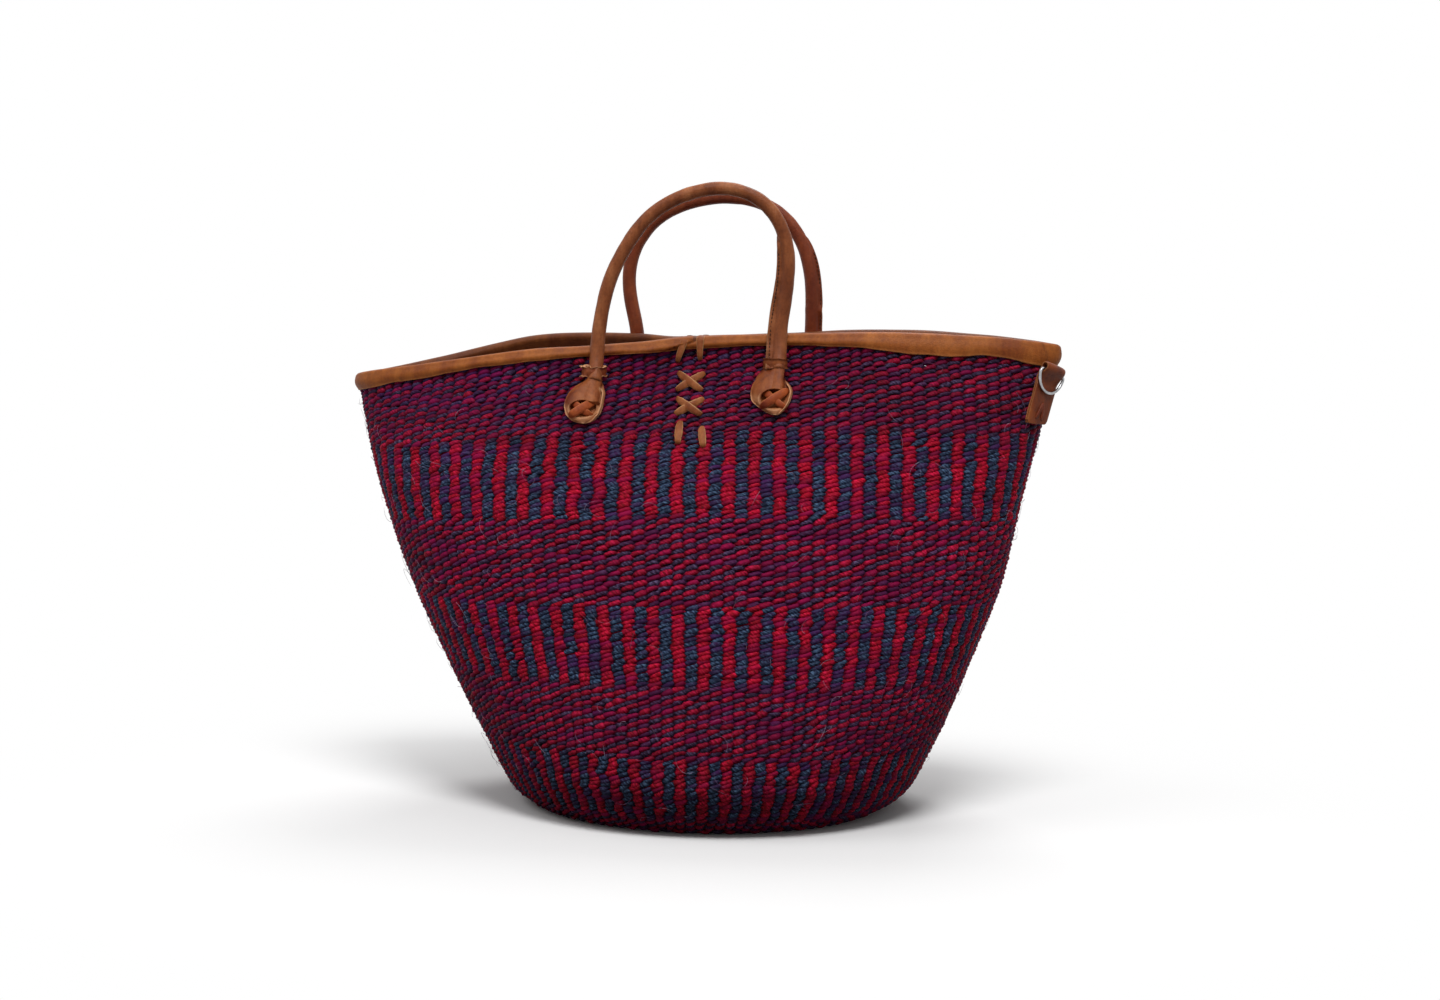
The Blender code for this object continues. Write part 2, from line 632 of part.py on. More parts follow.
def closure_tab(name, side, finish):
    """Leather tab behind the lacing, from the rim down inside the wall."""
    front = TAB_INSET
    back = TAB_INSET + TAB_LAYER
    shape = bmesh.new()
    layers = []
    for inset in (front, back):
        rows = []
        for row in range(TAB_ROWS + 1):
            line = []
            for column in range(TAB_COLUMNS + 1):
                x = TAB_LEFT_X + (TAB_RIGHT_X - TAB_LEFT_X) * column / TAB_COLUMNS
                top = rim_height(x, side) - TAB_TOP_DROP
                ring = wall_rows(side, inset)[row - TAB_ROWS - 1]
                z = float(np.interp(x, ring[:, 0], ring[:, 2]))
                if row == 0:
                    z = BODY_HEIGHT - TAB_DROP
                line.append(shape.verts.new(wall_face(x, min(z, top), side, inset)))
            rows.append(line)
        layers.append(rows)
    for rows in layers:
        for lower, upper in zip(rows[:-1], rows[1:]):
            for column in range(TAB_COLUMNS):
                shape.faces.new((lower[column], lower[column + 1], upper[column + 1], upper[column]))
    outlines = []
    for rows in layers:
        outline = list(rows[0])
        outline += [row[-1] for row in rows[1:]]
        outline += list(reversed(rows[-1][:-1]))
        outline += [row[0] for row in reversed(rows[1:-1])]
        outlines.append(outline)
    count = len(outlines[0])
    for index in range(count):
        after = (index + 1) % count
        shape.faces.new((outlines[0][index], outlines[0][after], outlines[1][after], outlines[1][index]))
    bmesh.ops.recalc_face_normals(shape, faces=shape.faces)
    flatten(shape)
    mesh = bpy.data.meshes.new(name)
    shape.to_mesh(mesh)
    shape.free()
    return new_object(name, mesh, finish)


def snap_half(name, side, finish):
    """Disc of the snap, flat against its tab."""
    front = TAB_INSET + TAB_LAYER + GAP * 2
    z = rim_height(SNAP_X, side) - SNAP_DROP
    base = wall_face(SNAP_X, z, side, front)
    above = wall_face(SNAP_X, z + SNAP_RADIUS, side, front)
    beside = wall_face(SNAP_X + SNAP_RADIUS, z, side, front)
    up = (above - base).normalized()
    wide = (beside - base).normalized()
    out = wide.cross(up).normalized()
    if out.y * side > 0:
        out.negate()
    wide = up.cross(out)
    shares = ((0.85, 0.0), (1.0, 0.15), (1.0, 0.8), (0.85, 1.0))
    rings = []
    for size, share in shares:
        radius = SNAP_RADIUS * size
        rings.append(turned_ring(base + out * (SNAP_THICKNESS * share), wide, up, radius, radius, SNAP_SIDES))
    return skin(name, rings, finish)


def ring_tab(prefix, places, side, finish, metal):
    """Folded strap whose roll holds a ring; the ring swings on the roll's axis."""
    roll_x, foot_x = places
    outer = ROLL_BORE + RING_TAB_LAYER
    roll_z = rim_height(roll_x, side) - ROLL_DROP
    samples = []
    for down in RUN_PART_shares:
        for aside in RUN_PART_shares:
            x = roll_x + (foot_x - roll_x) * down + RING_TAB_WIDTH * (aside - 0.5) * TIP_TURN_share
            z = roll_z + outer - (RING_TAB_LENGTH + outer) * down
            covered = GAP + LEATHER if z > rim_height(x, side) - BINDING_TIP_DROP - GAP else 0.0
            samples.append(wall_face(x, z, side, -covered))
    spots = np.array(samples)
    middle = spots.mean(axis=0)
    outward = Vector(np.linalg.svd(spots - middle)[2][2])
    if outward.y * side < 0:
        outward.negate()
    clear = max((spots - middle) @ np.array(outward)) + TAB_STANDOFF
    top = sum(samples[:len(RUN_PART_shares)], Vector()) / len(RUN_PART_shares)
    low = sum(samples[-len(RUN_PART_shares):], Vector()) / len(RUN_PART_shares)
    upward = top - low
    upward = (upward - outward * upward.dot(outward)).normalized()
    inward = -outward
    along = inward.cross(upward)
    centre = top - upward * outer
    centre = centre + outward * (clear - (centre - Vector(middle)).dot(outward) + outer + RING_TAB_LEAN)
    pivot = axis_empty(prefix + "_axis", centre, along, inward, upward)

    # Profile of the strap across the roll: rear layer, round the bar, front layer.
    rear = outer
    faces = (rear, rear - RING_TAB_LAYER, rear - RING_TAB_LAYER - GAP, rear - RING_TAB_LAYER * 2 - GAP)
    lean = RING_TAB_LEAN
    sweep = np.linspace(0, ROLL_SWEEP_share * pi, ROLL_STEPS)
    straight = (-RING_TAB_LENGTH, -RING_STITCH_DROP, -RING_TAB_KNEE)
    skins = [((faces[0] + lean, height), (faces[1] + lean, height)) for height in straight]
    for angle in sweep:
        turned = np.array((cos(angle), sin(angle)))
        skins.append((turned * outer, turned * ROLL_BORE))
    skins += [((faces[3] + lean, height), (faces[2] + lean, height)) for height in reversed(straight)]
    half_wide = RING_TAB_WIDTH / 2
    rings = []
    for (out_depth, out_height), (in_depth, in_height) in skins:
        ring = [Vector((x, out_depth, out_height)) for x in (-half_wide, half_wide)]
        ring += [Vector((x, in_depth, in_height)) for x in (half_wide, -half_wide)]
        rings.append(ring)
    strap = skin(prefix + "_tab", rings, finish)
    strap.matrix_world = pivot.matrix_world.copy()

    # The ring: a straight bar in the roll and a round bow hanging from it.
    centres = [Vector((RING_HALF_WIDTH, 0, 0))]
    for step in range(1, RING_STEPS):
        angle = pi * step / RING_STEPS
        drop = RING_DEPTH * sin(angle) ** RING_FULLNESS_share
        centres.append(Vector((RING_HALF_WIDTH * cos(angle), 0, -drop)))
    centres.append(Vector((-RING_HALF_WIDTH, 0, 0)))
    rings = []
    count = len(centres)
    flat = Vector((0, 1, 0))
    for index, centre in enumerate(centres):
        before = centres[index - 1]
        after = centres[(index + 1) % count]
        onward = ((after - centre).normalized() + (centre - before).normalized()).normalized()
        rings.append(turned_ring(centre, flat, flat.cross(onward), RING_WIRE, RING_WIRE, RING_SIDES))
    ring = skin(prefix + "_ring", rings, metal, ring_closed=True)
    ring.parent = pivot

    # A short upright stitch through both layers and the wall.
    face = faces[3] + lean - LACE_GAP - THONG_THICKNESS / 2
    outer_run = []
    for part in RUN_PART_shares:
        height = -RING_STITCH_DROP + RING_STITCH_HALF * (1 - 2 * part)
        outer_run.append(pivot.matrix_world @ Vector((RING_STITCH_ASIDE, face, height)))
    inset = WALL_THICKNESS + LACE_GAP * 2 + THONG_THICKNESS / 2
    inner_run = [wall_face(point.x, point.z, side, inset) for point in reversed(outer_run)]
    low_leg = (outer_run[-1] + inner_run[0]) / 2
    high_leg = (outer_run[0] + inner_run[-1]) / 2
    stations = [(point, along) for point in outer_run + [low_leg] + inner_run + [high_leg]]
    thong(prefix + "_tab_thong", stations, RING_THONG_WIDTH, finish)
    boxes = [slot_box(outer_run[-1], inner_run[0], along, RING_THONG_WIDTH)]
    boxes.append(slot_box(outer_run[0], inner_run[-1], along, RING_THONG_WIDTH))
    cutter = cutter_of(prefix + "_tab_slots", boxes)
    cut(body, cutter)
    cut(strap, cutter)


def woven_body(finish):
    """The body: outer rings upwards, then inner rings down to the floor."""
    rings = [[wall_round(turn, level, 0.0) for turn in TURNS] for level in LEVEL_shares]
    for level in (1.0, *reversed(INNER_LEVEL_shares)):
        rings.append([wall_round(turn, level, WALL_THICKNESS) for turn in TURNS])
    floor = [wall_round(turn, LEVEL_shares[1], WALL_THICKNESS) for turn in TURNS]
    for point in floor:
        point.z = FLOOR_THICKNESS
    rings.append(floor)
    return skin("woven_body", rings, finish)


def rim_binding(finish):
    """Leather folded over the wall's edge, all round the mouth."""
    thick = GAP + LEATHER
    half_wall = WALL_THICKNESS / 2
    # Each entry: inset from the outer face, share of the drop, rise over the edge.
    outline = (
        (-GAP, 1.0, 0.0), (-GAP, 0.0, GAP),
        (WALL_THICKNESS + GAP, 0.0, GAP), (WALL_THICKNESS + GAP, 1.0, 0.0),
        (WALL_THICKNESS + thick, 1.0, 0.0), (WALL_THICKNESS + thick, 0.0, -GAP), (WALL_THICKNESS, 0.0, thick),
        (half_wall, 0.0, thick + BINDING_CROWN), (0.0, 0.0, thick), (-thick, 0.0, -GAP), (-thick, 1.0, 0.0),
    )
    rings = []
    for inset, fall, rise in outline:
        ring = []
        for turn in TURNS:
            drop = BINDING_DROP + (BINDING_TIP_DROP - BINDING_DROP) * cos(turn) ** 2
            level = 1.0 - drop * fall / BODY_HEIGHT
            ring.append(wall_round(turn, level, inset) + Vector((0, 0, rise)))
        rings.append(ring)
    return skin("rim_binding", rings, finish, ring_closed=True)


for leftover in list(bpy.data.objects):
    bpy.data.objects.remove(leftover, do_unlink=True)

SISAL = material("sisal_weave", (0.23, 0.03, 0.07), 0.85, 0.0)
LEATHER_TAN = material("tan_leather", (0.26, 0.10, 0.035), 0.55, 0.0)
LEATHER_DARK = material("dark_leather", (0.06, 0.03, 0.02), 0.6, 0.0)
CORD = material("cord_core", (0.55, 0.45, 0.30), 0.9, 0.0)
STEEL = material("steel", (0.6, 0.6, 0.62), 0.25, 1.0)

body = woven_body(SISAL)
rim_binding(LEATHER_TAN)

body_slots = []
for side, word, legs, bow in ((-1, "front", FRONT_LEGS_X, FRONT_BOW), (1, "back", BACK_LEGS_X, BACK_BOW)):
    tab = closure_tab("closure_tab_" + word, side, LEATHER_DARK)
    snap_half("snap_half_" + word, side, STEEL)
    lace_front = -(LACE_GAP + THONG_THICKNESS / 2)
    stand_offs = (lace_front, LACE_INSET)
    lace_slots = []
    for name, corners in (("lace_cross_upper_", CROSS_UPPER), ("lace_cross_lower_", CROSS_LOWER)):
        lace_slots += crossed_thong(name + word, corners, side, stand_offs, THONG_WIDTH, LEATHER_TAN)[1]
    for name, place in (("lace_upright_left_", UPRIGHT_LEFT), ("lace_upright_right_", UPRIGHT_RIGHT)):
        lace_slots += upright_thong(name + word, place, side, stand_offs, LEATHER_TAN)[1]
    for name, (foot_x, top_x) in (("lace_rim_left_", LOOP_LEFT_X), ("lace_rim_right_", LOOP_RIGHT_X)):
        lace_slots += rim_thong(name + word, foot_x, top_x, side, LEATHER_TAN)[1]
    lace_cutter = cutter_of("lace_slots_" + word, lace_slots)
    cut(body, lace_cutter)
    cut(tab, lace_cutter)
    shifts = (SPOON_LEFT_SHIFT, SPOON_RIGHT_SHIFT)
    for x, hand, shift in zip(legs, ("left", "right"), shifts):
        end = spoon("spoon_" + word + "_" + hand, x, side, shift, LEATHER_TAN)
        keeper("keeper_" + word + "_" + hand, x, side, LEATHER_TAN)
        drop = BODY_HEIGHT - rim_height(x, side) + SPOON_CROSS_DROP
        half = SPOON_CROSS_HALF
        corners = (x + shift - half, x + shift + half, drop - half, half * 2)
        inner = WALL_THICKNESS + LACE_GAP + THONG_THICKNESS / 2
        name = "spoon_thong_" + word + "_" + hand
        stand_offs = (-SPOON_CROSS_STANDOFF, inner)
        boxes = crossed_thong(name, corners, side, stand_offs, SPOON_THONG_WIDTH, LEATHER_TAN)[1]
        spoon_cutter = cutter_of("spoon_slots_" + word + "_" + hand, boxes)
        cut(body, spoon_cutter)
        cut(end, spoon_cutter)
    hinges = [hinge_point(x, side) for x in legs]
    handle("handle_" + word, *hinges, bow, LEATHER_TAN, CORD)

ring_tab("right", RIGHT_TAB_X, -1, LEATHER_TAN, STEEL)
ring_tab("left", LEFT_TAB_X, 1, LEATHER_TAN, STEEL)

# The origin stands under the middle of the whole length.
for made in list(bpy.data.objects):
    if made.parent is None:
        made.location.x += (LEFT_REACHES[-1] - RIGHT_REACHES[-1]) / 2
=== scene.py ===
"""Looks of a twined sisal basket with a leather-bound mouth and rolled leather handles.

Metres, +Z up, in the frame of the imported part. Every weft strand of the wall and the
base is its own tube, twisted with its partner round the upright warps."""

import json
from math import cos, pi, radians, sin

import bpy
import bmesh
import numpy as np
from mathutils import Matrix, Vector


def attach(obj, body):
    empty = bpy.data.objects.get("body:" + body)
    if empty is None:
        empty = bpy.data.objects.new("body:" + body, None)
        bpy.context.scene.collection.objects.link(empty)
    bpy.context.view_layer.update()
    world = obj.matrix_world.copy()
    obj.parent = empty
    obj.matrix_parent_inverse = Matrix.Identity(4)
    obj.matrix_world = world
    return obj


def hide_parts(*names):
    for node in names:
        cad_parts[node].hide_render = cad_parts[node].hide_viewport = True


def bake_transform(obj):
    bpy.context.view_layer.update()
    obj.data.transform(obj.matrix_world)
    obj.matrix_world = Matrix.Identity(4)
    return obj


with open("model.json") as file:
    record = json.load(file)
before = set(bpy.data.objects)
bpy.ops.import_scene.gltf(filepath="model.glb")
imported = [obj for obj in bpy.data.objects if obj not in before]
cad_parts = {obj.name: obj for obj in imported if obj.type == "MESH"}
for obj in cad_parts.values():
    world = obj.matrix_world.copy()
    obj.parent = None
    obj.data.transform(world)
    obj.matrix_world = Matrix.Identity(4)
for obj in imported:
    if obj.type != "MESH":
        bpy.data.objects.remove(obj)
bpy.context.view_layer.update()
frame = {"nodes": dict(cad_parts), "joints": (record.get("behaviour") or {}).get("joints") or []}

SEED = 7
CHANCE = np.random.default_rng(SEED)

# Shape of the body: half lengths and half depths at height shares, as the part has them.
BODY_HEIGHT = 0.2785
WALL_THICKNESS = 0.0050
LEVEL_shares = (0.0, 0.025, 0.06, 0.11, 0.19, 0.32, 0.50, 0.70, 0.80, 0.87, 0.92, 0.96, 1.0)
RIGHT_REACHES = (
    0.1050, 0.1189, 0.1281, 0.1350, 0.1455, 0.1594, 0.1773, 0.1889, 0.1957, 0.2000, 0.2028, 0.2042, 0.2052,
)
LEFT_REACHES = (
    0.1020, 0.1129, 0.1200, 0.1274, 0.1399, 0.1587, 0.1810, 0.1990, 0.2062, 0.2102, 0.2130, 0.2148, 0.2162,
)
# The lobes are as deep as the middle up to here, and deeper above.
LOW_DEPTHS = (0.0980, 0.1085, 0.1160, 0.1215, 0.1193, 0.1114)
CENTRE_DEPTHS = LOW_DEPTHS + (0.0985, 0.0700, 0.0500, 0.0330, 0.0212, 0.0140, 0.0122)
LEFT_DEPTHS = LOW_DEPTHS + (0.1040, 0.0905, 0.0790, 0.0680, 0.0580, 0.0505, 0.0470)
RIGHT_DEPTHS = LOW_DEPTHS + (0.0970, 0.0760, 0.0610, 0.0480, 0.0365, 0.0280, 0.0240)
PINCH_CENTRE_share = -0.045
PINCH_WIDTH_share = 0.33
RIM_PLACE_shares = (-1.0, -0.70, -0.46, -0.20, 0.0, 0.26, 0.55, 0.80, 0.93, 1.0)
RIM_RISES = (-0.0274, -0.0180, -0.0105, -0.0058, -0.0010, 0.0016, 0.0032, 0.0022, 0.0002, -0.0016)
BACK_RISE_RIGHT = 0.0018
BACK_PLACE_shares = (-1.0, -0.80, -0.65, -0.54, -0.37, -0.21, -0.10, 0.0)
BACK_RISES = (0.0, 0.0040, 0.0078, 0.0094, 0.0080, 0.0052, 0.0012, 0.0)
SQUARE_LEVEL_shares = (0.0, 0.11, 0.50, 0.80, 1.0)
SQUARENESS_shares = (2.0, 2.0, 2.1, 2.25, 2.2)
# The body's own centre line stands this far right of the part's origin.
BODY_SHIFT = 0.0058
# Points round half a wall, and rows up it, where places on it are looked up.
FINE = 720
LOOK_LEVELS = np.linspace(0.5, 1.0, 70)

# Twined weave. Knots are the random values that a smooth wave runs through.
WARPS = 124
STEPS_PER_STITCH = 6
STRAND_SIDES = 5
STRAND_HALF_THICKNESS = 0.00115
STRAND_HALF_HEIGHT = 0.00158
CROSSING_HEIGHT_share = 0.76
CROSSING_THICKNESS_share = 0.80
STITCH_RISE = 0.00072
STITCH_FLATNESS = 0.48
ROW_SWAY_KNOTS = 40
ROW_SWAY = 0.0006
WANDER = 0.0008
# Mean size of a colour's strands and how far it varies.
UNEVEN = {"red": (1.08, 0.15), "blue": (0.90, 0.15)}
STITCH_SWAY = 0.00030
SWAY_LIMIT = 0.0004
STRAND_SIZE_LIMITS = (0.84, 1.35)
# Strands of a row: colour, and warps by which its stitches stand apart.
STRAND_PAIR = (("red", 0), ("blue", 1))
# Bands upwards from the base: pattern, lowest level, highest level, rows.
BANDS = (
    ("mixed", 0.004, 0.034, 4), ("striped", 0.034, 0.162, 14), ("mixed", 0.162, 0.307, 16),
    ("striped", 0.307, 0.465, 18), ("mixed", 0.465, 0.638, 17), ("striped", 0.638, 0.812, 20),
    ("mixed", 0.812, 0.995, 20),
)
BASE_LEVEL = 0.004
BASE_ROWS = 34
BASE_INNER_share = 0.05
BASE_STITCH = 0.0066
BASE_FEWEST_STITCHES = 8
# Texture coordinates of one base row start this far past those of the row before.
BASE_ROW_SHIFT = 400

# Loose fibres on the wall: number, size, and ranges of length and lift.
STRAYS = 520
STRAY_STATIONS = 8
STRAY_SIDES = 3
STRAY_RADIUS = 0.00013
STRAY_TAPER_share = 0.6
STRAY_LEVELS = (0.03, 0.95)
STRAY_BEND = 1.2
STRAY_LENGTHS = (0.004, 0.014)
STRAY_LIFTS = (0.0003, 0.0022)
STRAY_ROOT = 0.0002
STRAY_ARCH_share = 0.8
STRAY_CELL_share = 0.8
# A step round and up the wall that shows its directions at a fibre.
STRAY_PROBE = 0.01

# Noises are given as scale, detail and roughness.
# Sisal: its noises and stops; then ranges, each as from, to, result from, result to.
SISAL_GRAIN = (1.0, 3.0, 0.65)
SISAL_DRIFT = (55.0, 3.0, 0.6)
FIBRE_STRETCH = 2.2
FIBRE_SLANT = 0.9
FIBRES_ROUND = 6.5
GRAIN_STOPS = (0.34, 0.48, 0.64)
ODD_STITCHES = (0.95, 1.45, 0.0, 0.8)
MOUTH_TINT = (0.215, 0.245, 0.0, 0.42)
LEFT_TINT = (-0.10, 0.12, 1.2, 0.15)
# Painted shade: darker near the mouth, at the foot, and where a stitch dives between warps.
MOUTH_PAINTED_SHADE = (0.200, 0.236, 1.0, 0.72)
FOOT_PAINTED_SHADE = (0.01, 0.12, 0.74, 1.0)
DIVE_PAINTED_SHADE = (0.30, 0.50, 1.0, 0.58)
STITCH_SHADE_RANGE = 0.52
STITCH_SHADE_LEAST = 0.64
SISAL_ROUGHNESS = 0.66
SISAL_GLOSS = 0.12
SISAL_RELIEF = (0.8, 0.0005)
# Colours from 0 to 255: a fibre's dark, middle and light, odd stitches, stitches at the mouth.
STRAND_LOOKS = {
    "striped": {
        "red": ("sisal_red", (92, 0, 14), (160, 0, 30), (214, 26, 70), (126, 2, 62), (104, 4, 84)),
        "blue": ("sisal_blue", (10, 8, 26), (28, 36, 62), (84, 110, 142), (66, 18, 76), (48, 32, 96)),
    },
    "mixed": {
        "red": ("sisal_red_mixed", (86, 0, 20), (150, 2, 38), (198, 28, 76), (120, 2, 66), (104, 4, 88)),
        "blue": ("sisal_blue_mixed", (22, 6, 28), (48, 26, 54), (98, 84, 118), (86, 12, 68), (58, 26, 96)),
    },
}

# Leather: its broad grain is drawn out upwards, and a cut edge frays by the fine one.
LEATHER_DRAW = (1.0, 1.0, 0.35)
LEATHER_BROAD = (85.0, 4.0, 0.6)
LEATHER_FINE = (520.0, 3.0, 0.6)
LEATHER_CREASE = (180.0, 4.0, 0.65)
PEBBLES = 1500.0
CREASE_GAIN = 2.2
LEATHER_GLOSS = 0.22
LEATHER_RELIEF = (0.35, 0.0004)
SMOOTHER = -0.08
ROUGHER = 0.14
LEATHER_STOPS = (0.32, 0.50, 0.70)
SPECKS = ((0.32, (0.84, 0.84, 0.84, 1)), (0.62, (1.08, 1.08, 1.08, 1)))
FRAY_GAIN = 1.3
FRAY_GRAIN = 0.7
FRAY_START = -0.45
# Colour that darkens leather at dark lap lines and as painted shade.
LAP_AND_SHADE_DARK = (0.12, 0.05, 0.03, 1)
# Colours from 0 to 255: dark, middle, light, cut edge; then the roughness.
LEATHER_LOOKS = {
    "binding_leather": ((124, 58, 16), (148, 79, 26), (172, 100, 42), (196, 126, 70), 0.50),
    "handle_leather": ((108, 52, 22), (138, 75, 39), (166, 102, 62), (204, 150, 104), 0.44),
    "leg_end_leather": ((104, 44, 16), (136, 70, 30), (164, 98, 54), (216, 162, 118), 0.46),
    # The handle leather darkened as painted shade, for the back handle; the tab stitches use it too.
    "shaded_handle_leather": ((98, 36, 14), (120, 52, 24), (144, 72, 38), (200, 146, 100), 0.46),
    "band_leather": ((92, 34, 12), (118, 52, 22), (150, 82, 44), (206, 150, 108), 0.46),
    "lace_leather": ((104, 44, 16), (138, 74, 36), (168, 104, 58), (208, 162, 112), 0.50),
    "thong_leather": ((112, 38, 12), (146, 64, 26), (172, 86, 40), (190, 110, 64), 0.5),
    "dark_leather": ((38, 22, 16), (58, 34, 24), (80, 50, 36), (120, 84, 60), 0.5),
    "tab_leather": ((98, 38, 10), (130, 60, 22), (158, 86, 38), (146, 94, 52), 0.40),
    "seam_thread": ((44, 22, 12), (62, 32, 18), (84, 46, 28), (84, 46, 28), 0.7),
}
# Other materials: noise, its two stops with their colours, least and most roughness, metal or not.
PLAIN_LOOKS = {
    "bright_steel": ((260.0, 4.0, 0.6), ((0.3, (132, 132, 134)), (0.7, (186, 186, 188))), (0.16, 0.36), 1.0),
    "pale_cord": ((400.0, 3.0, 0.6), ((0.3, (150, 128, 92)), (0.7, (214, 196, 158))), (0.85, 0.85), 0.0),
    "stray_fibre": ((40.0, 2.0, 0.5), ((0.4, (96, 40, 84)), (0.6, (150, 132, 156))), (0.7, 0.7), 0.0),
}

# Rim binding: the part's sizes, then places across the front and how far down it reaches there.
GAP = 0.0003
LEATHER = 0.0017
BINDING_DROP = 0.0080
BINDING_TIP_DROP = 0.0105
BINDING_PLACES = (
    -0.2195, -0.200, -0.185, -0.172, -0.129, -0.105, -0.081, -0.046, -0.022,
    0.002, 0.026, 0.074, 0.098, 0.122, 0.145, 0.169, 0.193, 0.208,
)
BINDING_DROPS = (
    0.0102, 0.0092, 0.0074, 0.0072, 0.0050, 0.0050, 0.0044, 0.0036, 0.0046,
    0.0046, 0.0040, 0.0052, 0.0070, 0.0092, 0.0096, 0.0086, 0.0110, 0.0105,
)
BINDING_BULGE = 0.0010
BINDING_TUCK = 0.0007
BINDING_CROWN = 0.0006
BINDING_STATIONS = 960
BINDING_OUTER_ROWS = 7
BINDING_CROWN_ROWS = 11
BINDING_INNER_ROWS = 6
HEM_TURN = 0.0008
HEM_FALL_share = 1.06
# Waves along the binding: knots and size.
BINDING_WAVE = (150, 0.00016)
BINDING_SWELL = (34, 0.00022)
BINDING_HEM = (90, 0.00022)
# The lap of its ends: places of its edge, its step, how it fades, and the dark line at it.
LAP_TOP_X = -0.0077
LAP_FOOT_X = -0.0256
LAP_STEP = 0.0013
LAP_EDGE = 0.0007
LAP_FADE = (0.010, 0.030)
LAP_LIFT_share = 0.3
LAP_LINE = (-0.0012, 0.0, 0.0002, 0.0014)
LAP_DARKNESS = 0.85
TIP_LAP_X = 0.1950
TIP_LAP_LEAN = 0.0030
TIP_LAP_WIDTH = 0.0006
TIP_LAP_DARKNESS = 0.5
# Painted shade on the binding's inner face: its darkness, and the share of it at the top edge.
INSIDE_PAINTED_SHADE = 0.80
INSIDE_SHADE_LEAST_share = 0.75

# Handles. Bows: places across the mouth and heights over the body.
FRONT_LEGS_X = (-0.0628, 0.0440)
BACK_LEGS_X = (-0.0490, 0.0577)
TUBE_RADIUS = 0.0043
LEG_STANDOFF = 0.0071
AXIS_ABOVE_RIM = 0.0075
NECK_DROPS = (0.0190, 0.0150, 0.0110, 0.0070, 0.0030)
FRONT_BOW = (
    (-0.0613, 0.0095), (-0.0594, 0.0213), (-0.0555, 0.0360), (-0.0480, 0.0507), (-0.0364, 0.0672),
    (-0.0207, 0.0784), (-0.0043, 0.0844), (0.0086, 0.0863), (0.0221, 0.0841), (0.0357, 0.0762),
    (0.0447, 0.0625), (0.0479, 0.0493), (0.0478, 0.0377), (0.0463, 0.0232), (0.0449, 0.0145),
)
BACK_BOW = (
    (-0.0510, 0.0105), (-0.0538, 0.0222), (-0.0555, 0.0374), (-0.0515, 0.0545), (-0.0382, 0.0702),
    (-0.0210, 0.0785), (-0.0040, 0.0823), (0.0130, 0.0827), (0.0280, 0.0790), (0.0400, 0.0720),
    (0.0490, 0.0615), (0.0545, 0.0500), (0.0572, 0.0370), (0.0580, 0.0242), (0.0579, 0.0145),
)
BOW_EASE = 0.0075
BOW_LIFTS = {"front": 0.0018, "back": 0.0028}
# Heights between which a bow comes to its whole lift.
BOW_LIFT_SPAN = (0.040, 0.080)
TUBE_SIDES = 28
TUBE_STEP = 0.0016
TUBE_SIZE_share = 0.98
TUBE_SLIMNESS_share = 0.07
TUBE_LUMPS = (26, 0.012)
TUBE_TWIST = (60, 0.10)
# Out of round: how much, turned by what angle, and how fast it wanders.
TUBE_FLATNESS = (0.03, 0.8, 6)
# Corners of the tube crowd towards its seam by this much.
SEAM_CROWDING = 0.55
GROOVE_DEPTH = 0.0005
GROOVE_WIDTH = 0.13
FIN_WIDTH = 0.20
FIN_LEAST = 0.0004
FIN_HEIGHTS = {"front": 0.0036, "back": 0.0024}
FIN_shares = (0.0, 0.0, 0.0, 0.55, 0.85, 1.0, 1.0)
FIN_PLACE_shares = (0.0, 0.60, 0.70, 0.74, 0.82, 0.90, 1.0)
FIN_RAW_FROM_share = 0.66
FIN_RAWNESS = 0.8
CORE_RADIUS = 0.0026
CORE_SIDES = 12
CORE_ABOVE_HINGE = 0.0080
THREAD_PITCH = 0.0024
THREAD_LENGTH = 0.0016
THREAD_RADIUS = 0.0003
THREAD_SIDES = 6
THREAD_STATIONS = 5
THREAD_STANDOFF = 0.0011
THREAD_ARCH = 0.0003
THREAD_PLACE_share = 0.45
THREAD_FIN_share = 0.6

# Keepers: place beside the leg, drop below the rim, height, half width and tilt; then their frill.
KEEPERS = {
    "left": (-0.0009, 0.0098, 0.0062, 0.0069, -0.0004), "right": (-0.0022, 0.0122, 0.0058, 0.0074, 0.0003),
}
FRILLS = {"left": 0.0006, "right": 0.0002}
KEEPER_HALF_DEPTH = 0.0057
KEEPER_LEATHER = 0.0014
KEEPER_SIDES = 96
KEEPER_SPAN = 0.004
FRILL_KNOTS = 22
FRILL_HEM_KNOTS = 26
FRILL_HEM_share = 0.8
FRILL_DEPTH = 0.0006
# Section of a keeper: way out, share of its half height, rawness.
KEEPER_PROFILE = (
    (0.0004, -1.0, 0.9), (0.0002, -0.90, 0.6), (-0.0005, -0.72, 0.0), (0.0, -0.3, 0.0), (0.0, 0.3, 0.0),
    (-0.0005, 0.72, 0.0), (0.0002, 0.90, 0.6), (0.0004, 1.0, 0.9), (-KEEPER_LEATHER, 0.97, 1.0),
    (-KEEPER_LEATHER, 0.5, 0.0), (-KEEPER_LEATHER, -0.5, 0.0), (-KEEPER_LEATHER, -0.97, 1.0),
)

